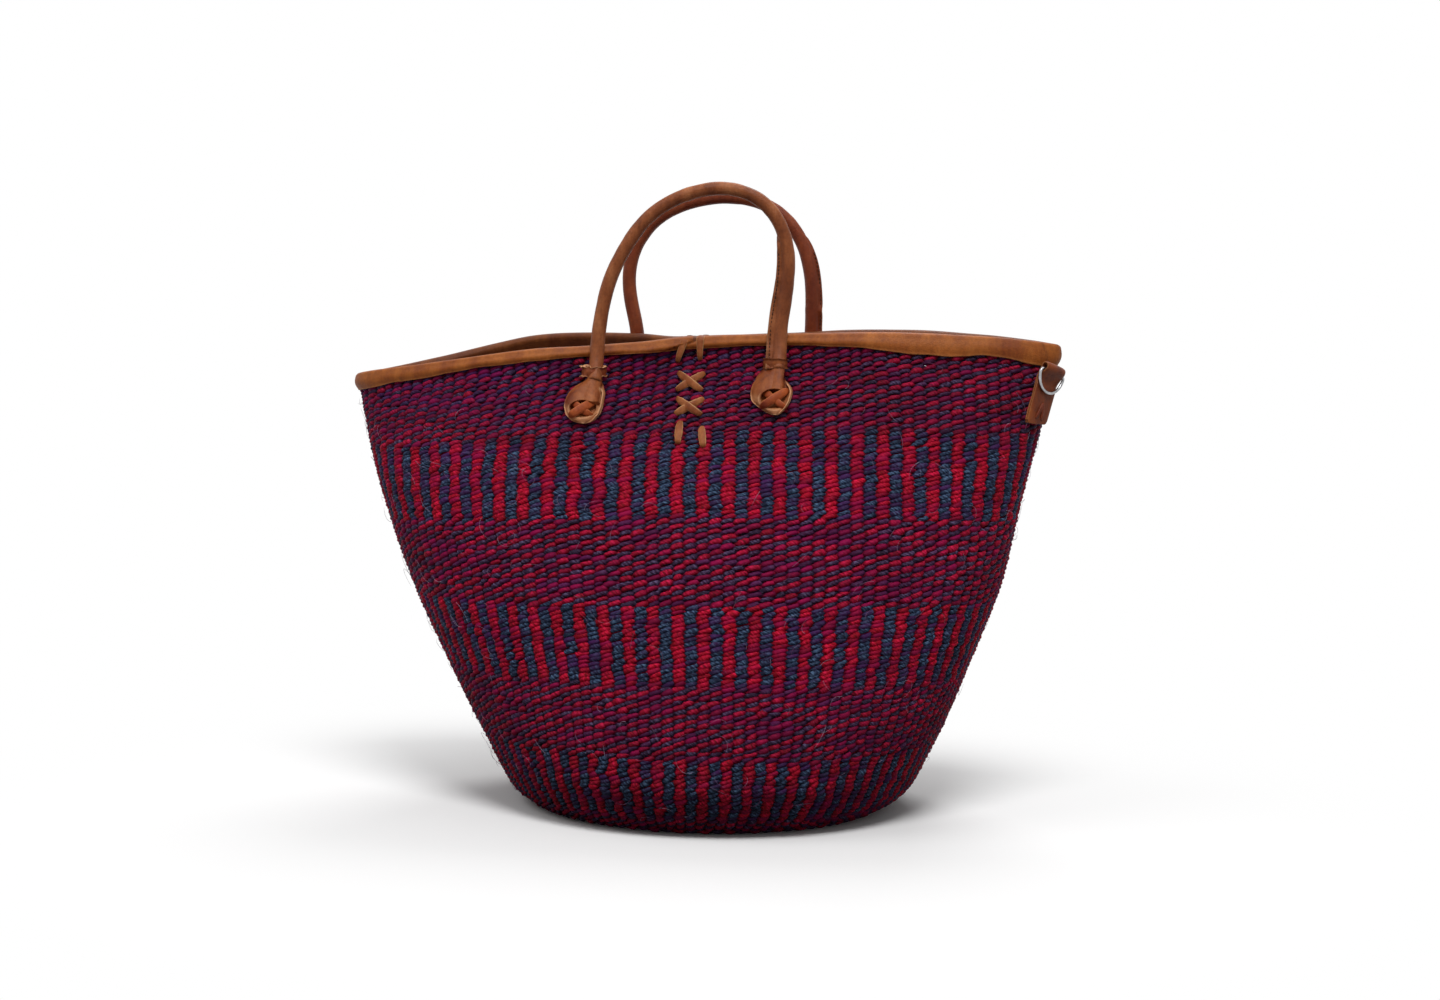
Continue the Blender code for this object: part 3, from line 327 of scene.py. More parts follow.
# Leg ends. Outline: drop below the rim, reach to the left and to the right of the leg.
# Opening: place across, drop, half width and half height. Strip: where the curled lip starts.
LEG_ENDS = {
    "left": {
        "outline": (
            (0.0120, -0.0046, 0.0042), (0.0151, -0.0050, 0.0040), (0.0175, -0.0058, 0.0040),
            (0.0195, -0.0080, 0.0042), (0.0221, -0.0116, 0.0050), (0.0265, -0.0146, 0.0064),
            (0.0313, -0.0158, 0.0064), (0.0364, -0.0148, 0.0058), (0.0402, -0.0118, 0.0036),
            (0.0420, -0.0084, 0.0010), (0.0429, -0.0046, -0.0018),
        ),
        "opening": (-0.0044, 0.0344, 0.0072, 0.0046),
        "strip": 0.0205,
    },
    "right": {
        "outline": (
            (0.0150, -0.0050, 0.0042), (0.0176, -0.0086, 0.0038), (0.0200, -0.0108, 0.0038),
            (0.0236, -0.0134, 0.0044), (0.0262, -0.0146, 0.0068), (0.0290, -0.0154, 0.0088),
            (0.0316, -0.0157, 0.0095), (0.0358, -0.0149, 0.0088), (0.0400, -0.0104, 0.0068),
            (0.0431, -0.0046, 0.0040), (0.0443, -0.0010, 0.0018),
        ),
        "opening": (-0.0004, 0.0351, 0.0082, 0.0054),
        "strip": 0.0240,
    },
}
HOOD_shares = (0.0, 0.20, 0.40, 0.60, 0.78, 0.92, 1.0)
HOOD_HEIGHTS = (0.0112, 0.0110, 0.0108, 0.0094, 0.0072, 0.0060, 0.0040)
# Roundness of the hood across: power of its place and of its height.
HOOD_ROUNDNESS = (2.3, 0.62)
RIDGE_SINK_share = 0.12
RIDGE_WIDTH_share = 0.94
# The hood's right half widens from this share of the opening's height over its middle.
HOOD_SPREADS_share = 0.8
HOLLOW_HEIGHT = 0.0022
HOLLOW_EDGE_shares = (0.90, 1.08)
STRIP_HEIGHT = 0.0060
STRIP_WIDTH = 0.0010
STRIP_INSET = 0.0011
STRIP_GROWTH = 0.003
STRIP_SINK_share = 0.4
STRIP_SINKS_shares = (0.85, 1.0)
SPOON_BACK = 0.0009
SPOON_SLICES = 104
SPOON_FRONT_SIDES = 96
SPOON_BACK_SIDES = 18
# Drops under its top between which the tube opens into the hood.
SPOON_OPENS = (0.0012, 0.0060)
SPOON_RUFFLE = (9, 0.00016)
# Where a leg end is raw: its sides, its foot, and a ring round the opening.
RAW_SIDE_shares = (0.955, 0.985)
RAW_FOOT_shares = (0.965, 0.985)
RAW_RING = (1.18, 0.10, 0.8)
RAW_STRIP = 0.9
RAW_LOWER = 0.50
# Crossed thong: way each strap leans, its arch and its width.
THONG_STRAPS = ((-1, 0.0040, 0.0042), (1, 0.0060, 0.0050))
THONG_HALF_THICKNESS = 0.0013
THONG_SHIFT = -0.0006
THONG_INSET = 0.0012
THONG_INSET_UP = 0.0006
THONG_CLEARANCE = 0.0004
THONG_STATIONS = 15

# Straps of thongs and laces. Squareness: powers of a circle's place across and through.
CURVE_STEPS = 24
STRAP_STEP = 0.0007
STRAP_SIDES = 16
STRAP_HALF_THICKNESS = 0.00075
STRAP_CROWN = 0.0002
STRAP_SQUARENESS = (0.55, 0.75)
STRAP_TAPER_share = 0.42
STRAP_TAPER_POWER = 2.5
STRAP_RIPPLE = (9, 0.03)
STRAP_RAWNESS = 0.8
RAW_STRAP_shares = (0.70, 0.95)
# Lacing. A cross: left and right sides, drop below the body's height, height, and the
# way that the upper strap leans. An upright: top and foot places, drop and length. A rim
# stitch: foot and top places and its drop.
CROSSES = (
    ("lace_cross_upper", -0.0166, -0.0012, 0.0206, 0.0098, -1),
    ("lace_cross_lower", -0.0154, 0.0002, 0.0353, 0.0088, -1),
)
UPRIGHTS = (
    ("lace_upright_left", -0.0116, -0.0112, 0.0486, 0.0120),
    ("lace_upright_right", 0.0016, 0.0040, 0.0512, 0.0108),
)
RIM_STITCHES = (("lace_rim_left", -0.0178, -0.0142, 0.0116), ("lace_rim_right", -0.0044, -0.0044, 0.0112))
LACE_WIDTH = 0.0046
CROSS_STATIONS = 15
UPRIGHT_STATIONS = 13
# Up the wall, over the edge, and down inside.
RIM_STITCH_STATIONS = (12, 9, 6)
# Lifts off the wall: at the middle, what an upper strap or an arch adds, and the dive of the ends.
CROSS_LIFT = 0.0010
CROSS_OVER = 0.0015
CROSS_DIVE = 0.0018
UPRIGHT_LIFT = 0.0013
UPRIGHT_DIVE = 0.0020
UPRIGHT_ARCH = 0.0004
RIM_STITCH_LIFT = 0.0012
RIM_STITCH_DIVE = 0.0030
RIM_STITCH_CROWN = 0.0023

# Ring tabs: directions along the roll, in to the wall and up.
RING_TABS = {
    "right": ((0.6927, 0.6531, -0.3060), (-0.6828, 0.7305, 0.0135), (0.2324, 0.1996, 0.9519)),
    "left": ((-0.5950, -0.6936, -0.4060), (0.7444, -0.6660, 0.0468), (-0.3029, -0.2744, 0.9127)),
}
RING_TAB_LENGTH = 0.0330
RING_TAB_HALF_WIDTH = 0.0080
RING_TAB_LAYER = 0.0013
RING_TAB_SLANT = 0.22
RING_TAB_CORNER = 0.0022
RING_TAB_TAPER_share = 0.05
RING_TAB_SAG = 0.0003
# Its side edges are thinner by a share, with a power of the place across.
RING_TAB_THINNING = (0.45, 10)
RING_TAB_STEP = 0.0006
RING_TAB_EDGE = (9, 0.00012)
RING_TAB_COLUMNS = 33
RING_TAB_LEG_shares = (1.0, 0.6, 0.35, 0.2)
ROLL_RADIUS = 0.0024
ROLL_REACH = 0.004
ROLL_WAIST = 0.0008
ROLL_SWEEP = 1.17 * pi
ROLL_POINTS = 12
REAR_DEPTH = 0.0036
FACE_DEPTH = 0.0021
RAW_TAB_SIDE_share = 0.97
RAW_TAB_SIDE = 0.7
RAW_TAB_FOOT = 0.6
TAB_STITCH_LEANS = (-0.0024, 0.0022)
TAB_STITCH_WIDTH = 0.0022
TAB_STITCH_SHIFT = 0.0004
TAB_STITCH_TOP = 0.0205
TAB_STITCH_LENGTH = 0.0095
TAB_STITCH_ARCH = 0.0008
TAB_STITCH_SINK = 0.0006
TAB_STITCH_STATIONS = 9
# How the ring's own triangles are merged before it is rounded.
MERGE_DISTANCE = 0.00001
FLAT_LIMIT = radians(50)
SKEW_LIMIT = radians(60)

# Camera at the photograph's angle, and the stage.
CAMERA_PLACE = (0.1849, -1.3625, 0.2872)
CAMERA_FORWARD = (-0.1299, 0.9886, -0.0767)
CAMERA_ROLL = 0.0196
CAMERA_LENS = 57.3
CAMERA_SENSOR = 36.0
CAMERA_SHIFT = 0.0083
CAMERA_NEAR = 0.05
FLOOR_PALE = (1.0, 1.0, 1.0, 1)
FLOOR_BOUNCE = (0.26, 0.26, 0.26, 1)
FLOOR_RADIUS = 6.0
FLOOR_SIDES = 96
FLOOR_LEVEL = -0.0005
# Distances from the middle over which the floor fades to white.
FLOOR_FADE = (0.12, 0.46)
WORLD_LIGHT = 0.27
# Lamps: name, place, target, size and watts.
LAMPS = (
    ("key", (0.25, -1.0, 1.9), (0, 0, 0.16), 0.8, 25.0),
    ("side", (-1.3, -0.7, 1.7), (0, 0, 0.15), 1.2, 7.5),
    ("rear", (0.2, 1.2, 1.9), (0, 0, 0.2), 1.2, 15.0),
)


def unit(vectors):
    """Vectors brought to length one."""
    return vectors / np.linalg.norm(vectors, axis=-1, keepdims=True)


def step_up(value, low, high):
    """Smooth step from 0 at low to 1 at high."""
    part = np.clip((np.asarray(value, float) - low) / (high - low), 0, 1)
    return part * part * (3 - 2 * part)


def smooth_table(places, values, where):
    """Values of a table at many places, on a curve that never overshoots its entries."""
    places = np.asarray(places, float)
    values = np.asarray(values, float)
    steps = np.diff(places)
    slopes = np.diff(values) / steps
    leans = np.zeros(len(values))
    leans[0] = slopes[0]
    leans[-1] = slopes[-1]
    for index in range(1, len(values) - 1):
        before, after = slopes[index - 1], slopes[index]
        if before * after > 0:
            leans[index] = 2 * before * after / (before + after)
    at = np.clip(np.asarray(where, float), places[0], places[-1])
    index = np.clip(np.searchsorted(places, at) - 1, 0, len(steps) - 1)
    step = steps[index]
    part = (at - places[index]) / step
    rest = 1 - part
    start = values[index] * (1 + 2 * part) * rest**2 + leans[index] * step * part * rest**2
    finish = values[index + 1] * part**2 * (3 - 2 * part) - leans[index + 1] * step * part**2 * rest
    return start + finish


def run_lengths(points):
    """Distance along a line to each of its points."""
    return np.concatenate([[0], np.cumsum(np.linalg.norm(np.diff(points, axis=0), axis=1))])


def ripple(count, knots, size):
    """Smooth random wave of count values round a closed line."""
    values = CHANCE.normal(0, size, knots)
    places = np.arange(count) * knots / count
    index = places.astype(int)
    part = places - index
    part = part * part * (3 - 2 * part)
    return values[index % knots] * (1 - part) + values[(index + 1) % knots] * part


def wall_points(turn, level, inset=0.0):
    """Points of the wall at angles round it and height shares, some way inside its outer face."""
    turn, level = np.broadcast_arrays(np.asarray(turn, float), np.asarray(level, float))
    power = smooth_table(SQUARE_LEVEL_shares, SQUARENESS_shares, level)
    across, deep = np.cos(turn), np.sin(turn)
    place = np.sign(across) * np.abs(across) ** (2 / power)
    bulge = np.sign(deep) * np.abs(deep) ** (2 / power)
    right = smooth_table(LEVEL_shares, RIGHT_REACHES, level)
    left = smooth_table(LEVEL_shares, LEFT_REACHES, level)
    reach = np.where(across > 0, right, left) - inset
    middle = np.exp(-(((place - PINCH_CENTRE_share) / PINCH_WIDTH_share) ** 2))
    lobe_right = smooth_table(LEVEL_shares, RIGHT_DEPTHS, level)
    lobe_left = smooth_table(LEVEL_shares, LEFT_DEPTHS, level)
    lobe = np.where(place > PINCH_CENTRE_share, lobe_right, lobe_left)
    depth = smooth_table(LEVEL_shares, CENTRE_DEPTHS, level) * middle + lobe * (1 - middle) - inset
    height = level * BODY_HEIGHT + level**2 * smooth_table(RIM_PLACE_shares, RIM_RISES, place)
    left_rise = smooth_table(BACK_PLACE_shares, BACK_RISES, place)
    rise = np.where(place > 0, BACK_RISE_RIGHT * np.sin(pi * place) ** 2, left_rise)
    height = height + np.where(deep > 0, rise * level**4, 0.0)
    return np.stack([reach * place + BODY_SHIFT, depth * bulge, height], axis=-1)


def even_turns(level, count):
    """Angles that part the wall evenly, from the left tip along the front to the right tip and back."""
    halves = []
    for start in (pi, 2 * pi):
        turns = np.linspace(start, start + pi, FINE)
        lengths = run_lengths(wall_points(turns, level))
        halves.append((lengths / lengths[-1], turns))
    wanted = np.arange(count) / (count / 2)
    front = np.interp(wanted, *halves[0])
    back = np.interp(wanted - 1, *halves[1])
    return np.where(wanted <= 1, front, back)


def look_rows(side):
    """Fine rows of the front (-1) or back (1) wall, each from left to right."""
    turns = np.linspace(0, pi, FINE) + (pi if side < 0 else 0)
    rows = [wall_points(turns, level) for level in LOOK_LEVELS]
    return [row[np.argsort(row[:, 0])] for row in rows]


LOOK_ROWS = {side: look_rows(side) for side in (-1, 1)}


def wall_depth(x, z, side):
    """Y of the front (-1) or back (1) wall's outer face over places and heights."""
    x, z = np.broadcast_arrays(np.asarray(x, float), np.asarray(z, float))
    rows = LOOK_ROWS[side]
    heights = np.array([np.interp(x.ravel(), row[:, 0], row[:, 2]) for row in rows])
    depths = np.array([np.interp(x.ravel(), row[:, 0], row[:, 1]) for row in rows])
    found = [np.interp(at, heights[:, n], depths[:, n]) for n, at in enumerate(z.ravel())]
    return np.array(found).reshape(x.shape)


def rim_height(x, side):
    """Height of the wall's top edge over a place."""
    row = LOOK_ROWS[side][-1]
    return float(np.interp(x, row[:, 0], row[:, 2]))


def joint_spot(name):
    """Point on a joint's axis."""
    return np.array(next(joint for joint in frame["joints"] if joint["name"] == name)["pos_m"])


def srgb(red, green, blue):
    """Linear colour of an sRGB one given from 0 to 255."""
    found = []
    for value in (red, green, blue):
        value = value / 255
        found.append(value / 12.92 if value <= 0.04045 else ((value + 0.055) / 1.055) ** 2.4)
    return (*found, 1.0)


class Graph:
    """Nodes of a material or world. Inputs are given as sockets or plain values."""

    def __init__(self, tree):
        self.nodes, self.links = tree.nodes, tree.links

    def feed(self, slot, value):
        """Link a socket to an input, or set the input to a value."""
        if isinstance(value, bpy.types.NodeSocket):
            self.links.new(value, slot)
        else:
            slot.default_value = value

    def add(self, kind, output, *inputs, **settings):
        """Output of a new node, whose inputs are pairs of name and value."""
        made = self.nodes.new("ShaderNode" + kind)
        for name, value in settings.items():
            setattr(made, name, value)
        for name, value in inputs:
            self.feed(made.inputs[name], value)
        return made.outputs[output]

    def shade(self, *inputs):
        """Set inputs of the material's shader."""
        for name, value in inputs:
            self.feed(self.nodes["Principled BSDF"].inputs[name], value)

    def parts(self, source, kind="XYZ"):
        """The three parts of a vector or colour."""
        made = self.nodes.new("ShaderNodeSeparate" + kind)
        self.links.new(source, made.inputs[0])
        return made.outputs

    def sum(self, operation, *values, **settings):
        """Result of a maths node."""
        return self.add("Math", 0, *enumerate(values), operation=operation, **settings)

    def spread(self, source, low, high, to_low, to_high, curve="SMOOTHSTEP"):
        """A value carried from one range to another."""
        ends = ("From Min", low), ("From Max", high), ("To Min", to_low), ("To Max", to_high)
        return self.add("MapRange", "Result", ("Value", source), *ends, interpolation_type=curve)

    def noise(self, vector, scale, detail, roughness):
        """Noise texture's value."""
        looks = ("Scale", scale), ("Detail", detail), ("Roughness", roughness)
        return self.add("TexNoise", "Fac", ("Vector", vector), *looks)

    def ramp(self, source, *stops):
        """Colour ramp; stops are pairs of place and colour."""
        made = self.nodes.new("ShaderNodeValToRGB")
        while len(made.color_ramp.elements) < len(stops):
            made.color_ramp.elements.new(0.5)
        for element, (place, colour) in zip(made.color_ramp.elements, stops):
            element.position = place
            element.color = colour
        self.links.new(source, made.inputs["Fac"])
        return made.outputs["Color"]

    def mix(self, share, first, second, blend="MIX"):
        """Mix of two colours."""
        made = self.nodes.new("ShaderNodeMix")
        made.data_type = "RGBA"
        made.blend_type = blend
        slots = {slot.identifier: slot for slot in made.inputs}
        for name, value in (("Factor_Float", share), ("A_Color", first), ("B_Color", second)):
            self.feed(slots[name], value)
        return next(slot for slot in made.outputs if slot.identifier == "Result_Color")

    def bump(self, height, strength, distance):
        """Normal raised by a height."""
        size = ("Strength", strength), ("Distance", distance)
        return self.add("Bump", "Normal", ("Height", height), *size)

    def straight_rays(self):
        """1 for what the camera sees itself, in a mirror or through something, else 0."""
        path = self.nodes.new("ShaderNodeLightPath").outputs
        seen = self.sum("MAXIMUM", path["Is Camera Ray"], path["Is Glossy Ray"])
        return self.sum("MAXIMUM", seen, path["Is Transmission Ray"])


def new_material(name):
    """Material with its graph and its object coordinates."""
    made = bpy.data.materials.new(name)
    made.use_nodes = True
    graph = Graph(made.node_tree)
    return made, graph, graph.add("TexCoord", "Object")


def sisal(name, *colours):
    """Twisted sisal: slanting fibres, a shade for each stitch, painted shade where a stitch dives, at the
    mouth and at the foot.
    """
    dark, middle, light, accent, far_accent = (srgb(*colour) for colour in colours)
    made, graph, place = new_material(name)
    along, across, _ = graph.parts(graph.add("UVMap", "UV", uv_map="fibre"))

    # Each stitch has its own shade.
    number = graph.sum("FLOOR", graph.sum("ADD", along, 0.5))
    row = graph.sum("FLOOR", graph.sum("MULTIPLY", across, 0.5))
    stitch = graph.add("CombineXYZ", 0, ("X", number), ("Y", row))
    chance = graph.add("TexWhiteNoise", "Color", ("Vector", stitch), noise_dimensions="2D")
    odd, tinted, shaded = graph.parts(chance, "Color")

    # Fibres wind round the strand.
    twist = graph.sum("MULTIPLY_ADD", along, FIBRE_SLANT, across)
    wound = graph.add(
        "CombineXYZ", 0, ("X", graph.sum("MULTIPLY", along, FIBRE_STRETCH)),
        ("Y", graph.sum("MULTIPLY", twist, FIBRES_ROUND)),
    )
    grain = graph.noise(wound, *SISAL_GRAIN)
    drift = graph.noise(place, *SISAL_DRIFT)
    tone = graph.ramp(grain, *zip(GRAIN_STOPS, (dark, middle, light)))
    odd = graph.spread(graph.sum("ADD", odd, drift), *ODD_STITCHES, "LINEAR")
    tone = graph.mix(odd, tone, accent)

    # Purple near the mouth, most at the left; painted shade darkens the mouth, the foot and the crossings.
    x, _, z = graph.parts(place)
    tint = graph.sum("MULTIPLY", graph.spread(z, *MOUTH_TINT), graph.spread(x, *LEFT_TINT))
    tone = graph.mix(graph.sum("MULTIPLY", tint, tinted), tone, far_accent)
    level = graph.sum("MULTIPLY_ADD", shaded, STITCH_SHADE_RANGE, STITCH_SHADE_LEAST)
    half = graph.sum("SUBTRACT", graph.sum("FRACT", graph.sum("ADD", along, 0.5)), 0.5)
    end = graph.sum("ABSOLUTE", half)
    # Painted shade at the mouth, at the foot and where each stitch dives.
    for source, reach in ((z, MOUTH_PAINTED_SHADE), (z, FOOT_PAINTED_SHADE), (end, DIVE_PAINTED_SHADE)):
        level = graph.sum("MULTIPLY", level, graph.spread(source, *reach))
    tone = graph.mix(1.0, tone, level, "MULTIPLY")
    graph.shade(
        ("Base Color", tone), ("Roughness", SISAL_ROUGHNESS), ("Specular IOR Level", SISAL_GLOSS),
        ("Normal", graph.bump(grain, *SISAL_RELIEF)),
    )
    return made


def leather(name, dark, middle, light, raw, rough):
    """Leather: mottled colour, fine pebbled grain, pale where it is cut, darker where an attribute marks lap
    lines and painted shade.
    """
    made, graph, place = new_material(name)
    drawn = graph.add("VectorMath", 0, (0, place), (1, LEATHER_DRAW), operation="MULTIPLY")
    broad = graph.noise(drawn, *LEATHER_BROAD)
    fine = graph.noise(place, *LEATHER_FINE)
    tone = graph.ramp(broad, *zip(LEATHER_STOPS, (srgb(*dark), srgb(*middle), srgb(*light))))
    tone = graph.mix(1.0, tone, graph.ramp(fine, *SPECKS), "MULTIPLY")
    cut = graph.add("Attribute", "Fac", attribute_name="raw")
    fray = graph.sum("MULTIPLY_ADD", fine, FRAY_GRAIN, FRAY_START)
    frayed = graph.sum("MULTIPLY_ADD", cut, FRAY_GAIN, fray, use_clamp=True)
    tone = graph.mix(graph.sum("MULTIPLY", frayed, cut), tone, srgb(*raw))
    # Darkened at the lap lines, and by painted shade on the binding's inner face.
    dark_lap_and_shade = graph.add("Attribute", "Fac", attribute_name="dark_lap_and_shade")
    tone = graph.mix(dark_lap_and_shade, tone, LAP_AND_SHADE_DARK, "MULTIPLY")
    pebble = graph.add("TexVoronoi", "Distance", ("Scale", PEBBLES), ("Vector", place))
    relief = graph.sum("MULTIPLY_ADD", graph.noise(place, *LEATHER_CREASE), CREASE_GAIN, pebble)
    graph.shade(
        ("Base Color", tone), ("Specular IOR Level", LEATHER_GLOSS),
        ("Roughness", graph.spread(broad, 0, 1, rough + SMOOTHER, rough + ROUGHER, "LINEAR")),
        ("Normal", graph.bump(relief, *LEATHER_RELIEF)),
    )
    return made


def plain(name, looks, stops, roughness, metallic):
    """Material of two colours, mottled by one noise."""
    made, graph, place = new_material(name)
    grain = graph.noise(place, *looks)
    tone = graph.ramp(grain, *((spot, srgb(*colour)) for spot, colour in stops))
    rough = graph.spread(grain, 0, 1, *roughness, "LINEAR")
    graph.shade(("Base Color", tone), ("Roughness", rough), ("Metallic", metallic))
    return made


STRANDS = {}
for pattern, looks in STRAND_LOOKS.items():
    STRANDS[pattern] = {colour: sisal(*look) for colour, look in looks.items()}
FINISH = {name: leather(name, *look) for name, look in LEATHER_LOOKS.items()}
FINISH.update({name: plain(name, *look) for name, look in PLAIN_LOOKS.items()})


def linked(name, data):
    """New object in the scene for a mesh, camera or lamp."""
    made = bpy.data.objects.new(name, data)
    bpy.context.scene.collection.objects.link(made)
    return made


def joined(name, objects):
    """One object of several."""
    bpy.ops.object.select_all(action="DESELECT")
    for one in objects:
        one.select_set(True)
    bpy.context.view_layer.objects.active = objects[0]
    bpy.ops.object.join()
    objects[0].name = name
    objects[0].data.name = name
    return objects[0]


def mesh_object(name, points, faces, material, uv, flat):
    """Object of a mesh with four-cornered faces, given as arrays."""
    mesh = bpy.data.meshes.new(name)
    mesh.vertices.add(len(points))
    mesh.vertices.foreach_set("co", np.ascontiguousarray(points, np.float32).ravel())
    mesh.loops.add(faces.size)
    mesh.loops.foreach_set("vertex_index", faces.astype(np.int32).ravel())
    mesh.polygons.add(len(faces))
    mesh.polygons.foreach_set("loop_start", np.arange(0, faces.size, faces.shape[1], dtype=np.int32))
    for title, values in (("fibre", uv), ("OFBake", flat)):
        layer = mesh.uv_layers.new(name=title)
        layer.uv.foreach_set("vector", np.ascontiguousarray(values, np.float32).ravel())
    mesh.update(calc_edges=True)
    mesh.validate()
    mesh.shade_smooth()
    mesh.materials.append(material)
    return linked(name, mesh)


def corner_map(a0, a1, b0, b1):
    """Texture coordinates of four-cornered faces that span two values each way."""
    return np.stack([np.stack(corner, -1) for corner in ((a0, b0), (a1, b0), (a1, b1), (a0, b1))], -2)


def closed_tubes(name, rings, shift, material, low=0.0, high=1.0):
    """Tubes that each close on themselves. rings is (tubes, stations, sides, 3).

    Their texture coordinates count warps along a tube, moved by its shift, and two a tube
    across. A second map spreads them out, between low and high, for baking."""
    tubes, stations, sides = shape = rings.shape[:3]
    index = np.arange(tubes * stations * sides).reshape(shape)
    onward = np.roll(index, -1, axis=1)
    faces = np.stack([index, onward, np.roll(onward, -1, axis=2), np.roll(index, -1, axis=2)], axis=-1)
    along = np.arange(stations) / STEPS_PER_STITCH + shift[:, None]
    u0 = np.broadcast_to(along[:, :, None], shape)
    v0 = 2.0 * np.arange(tubes)[:, None, None] + np.broadcast_to(np.arange(sides) / sides, shape)
    uv = corner_map(u0, u0 + 1 / STEPS_PER_STITCH, v0, v0 + 1 / sides)
    strip = np.arange(tubes)[:, None, None] * sides + np.broadcast_to(np.arange(sides), shape)
    b0 = low + (high - low) * strip / (tubes * sides)
    a0 = np.broadcast_to((np.arange(stations) / stations)[None, :, None], shape)
    flat = corner_map(a0, a0 + 1 / stations, b0, b0 + (high - low) / (tubes * sides))
    return mesh_object(name, rings.reshape(-1, 3), faces.reshape(-1, 4), material, uv, flat)


def round_rings(path, first, second, radius, sides):
    """Rings of a round tube along a path, in the plane of two directions."""
    turns = [2 * pi * number / sides for number in range(sides)]
    return np.stack([path + radius * (first * cos(turn) + second * sin(turn)) for turn in turns], axis=1)


def loft(name, rings, material, closed=False, raw=None, dark_lap_and_shade=None):
    """Skin through rings of points (stations, sides, 3), capped unless closed.

    Two maps, each (stations, sides), say where the leather is cut and where it is darkened: dark lap lines
    and painted shade."""
    stations, sides = rings.shape[:2]
    index = np.arange(stations * sides).reshape(stations, sides)
    rows = np.vstack([index, index[:1]]) if closed else index
    low, high = rows[:-1], rows[1:]
    faces = np.stack([low, np.roll(low, -1, axis=1), np.roll(high, -1, axis=1), high], axis=-1)
    faces = [tuple(face) for face in faces.reshape(-1, 4).tolist()]
    points = rings.reshape(-1, 3).tolist()
    if not closed:
        for ring in (0, stations - 1):
            points.append(rings[ring].mean(axis=0).tolist())
            pole = len(points) - 1
            corners = zip(index[ring].tolist(), np.roll(index[ring], -1).tolist())
            faces += [(one, other, pole) for one, other in corners]
    mesh = bpy.data.meshes.new(name)
    mesh.from_pydata(points, [], faces)
    for title, given in (("raw", raw), ("dark_lap_and_shade", dark_lap_and_shade)):
        if given is not None:
            values = np.zeros(len(points), np.float32)
            values[:given.size] = given.reshape(-1)
            mesh.attributes.new(title, "FLOAT", "POINT").data.foreach_set("value", values)
    shape = bmesh.new()
    shape.from_mesh(mesh)
    bmesh.ops.recalc_face_normals(shape, faces=shape.faces)
    shape.to_mesh(mesh)
    shape.free()
    mesh.shade_smooth()
    mesh.materials.append(material)
    return linked(name, mesh)


def surface_frame(points):
    """Outward normals and upward directions of a grid of points (rows, round, 3)."""
    along = unit(np.roll(points, -1, axis=1) - np.roll(points, 1, axis=1))
    out = unit(np.cross(along, np.gradient(points, axis=0)))
    return out, np.cross(out, along)


def strand_rings(points, out, up, shift, colour):
    """Rings of one colour's strands in rows of weave. points is (rows, stations, 3).

    shift moves each row's stitches by whole warps."""
    count = points.shape[1]
    warp = np.arange(count) / STEPS_PER_STITCH
    phase = pi * (warp[None, :] + shift[:, None])
    front, cross = np.cos(phase), np.sin(phase)
    front = np.sign(front) * np.abs(front) ** STITCH_FLATNESS
    half = WALL_THICKNESS / 2
    swing = half - STRAND_HALF_THICKNESS
    size, range_share = UNEVEN[colour]
    fat = np.array([size + ripple(count, WARPS, range_share) for _ in points]).clip(*STRAND_SIZE_LIMITS)
    lift = np.array([ripple(count, WARPS, STITCH_SWAY) for _ in points]).clip(-SWAY_LIMIT, SWAY_LIMIT)
    centre = points - out * (half - swing * front)[..., None] + up * (STITCH_RISE * cross + lift)[..., None]
    tall = STRAND_HALF_HEIGHT * (CROSSING_HEIGHT_share + (1 - CROSSING_HEIGHT_share) * np.abs(front)) * fat
    thick = CROSSING_THICKNESS_share + (1 - CROSSING_THICKNESS_share) * np.abs(front)
    thick = STRAND_HALF_THICKNESS * thick * fat
    rings = []
    for side in range(STRAND_SIDES):
        angle = pi + 2 * pi * (side + 0.5) / STRAND_SIDES
        rings.append(centre + out * (thick * cos(angle))[..., None] + up * (tall * sin(angle))[..., None])
    return np.stack(rings, axis=2)


def woven_wall():
    """Bands of twined rows, each band a red and a blue piece."""
    made = []
    count = WARPS * STEPS_PER_STITCH
    sway = ripple(count, ROW_SWAY_KNOTS, ROW_SWAY)
    rows_below = 0
    for number, (pattern, low, high, rows) in enumerate(BANDS, 1):
        # One row more at each edge shows the wall's direction there.
        levels = low + (high - low) / rows * (np.arange(-1, rows + 1) + 0.5)
        points = np.array([wall_points(even_turns(level, count), level) for level in levels])
        out, up = surface_frame(points)
        aside = np.array([ripple(count, WARPS // 2, WANDER) for _ in points])
        points = points + up * sway[None, :, None] + np.cross(up, out) * aside[..., None]
        points, out, up = points[1:-1], out[1:-1], up[1:-1]
        shift = np.arange(rows_below, rows_below + rows) % 2 if pattern == "mixed" else np.full(rows, 1)
        for colour, more in STRAND_PAIR:
            rings = strand_rings(points, out, up, shift + more, colour)
            name = f"weft_{colour}_{number}"
            made.append(closed_tubes(name, rings, shift + more, STRANDS[pattern][colour]))
        rows_below += rows
    return made


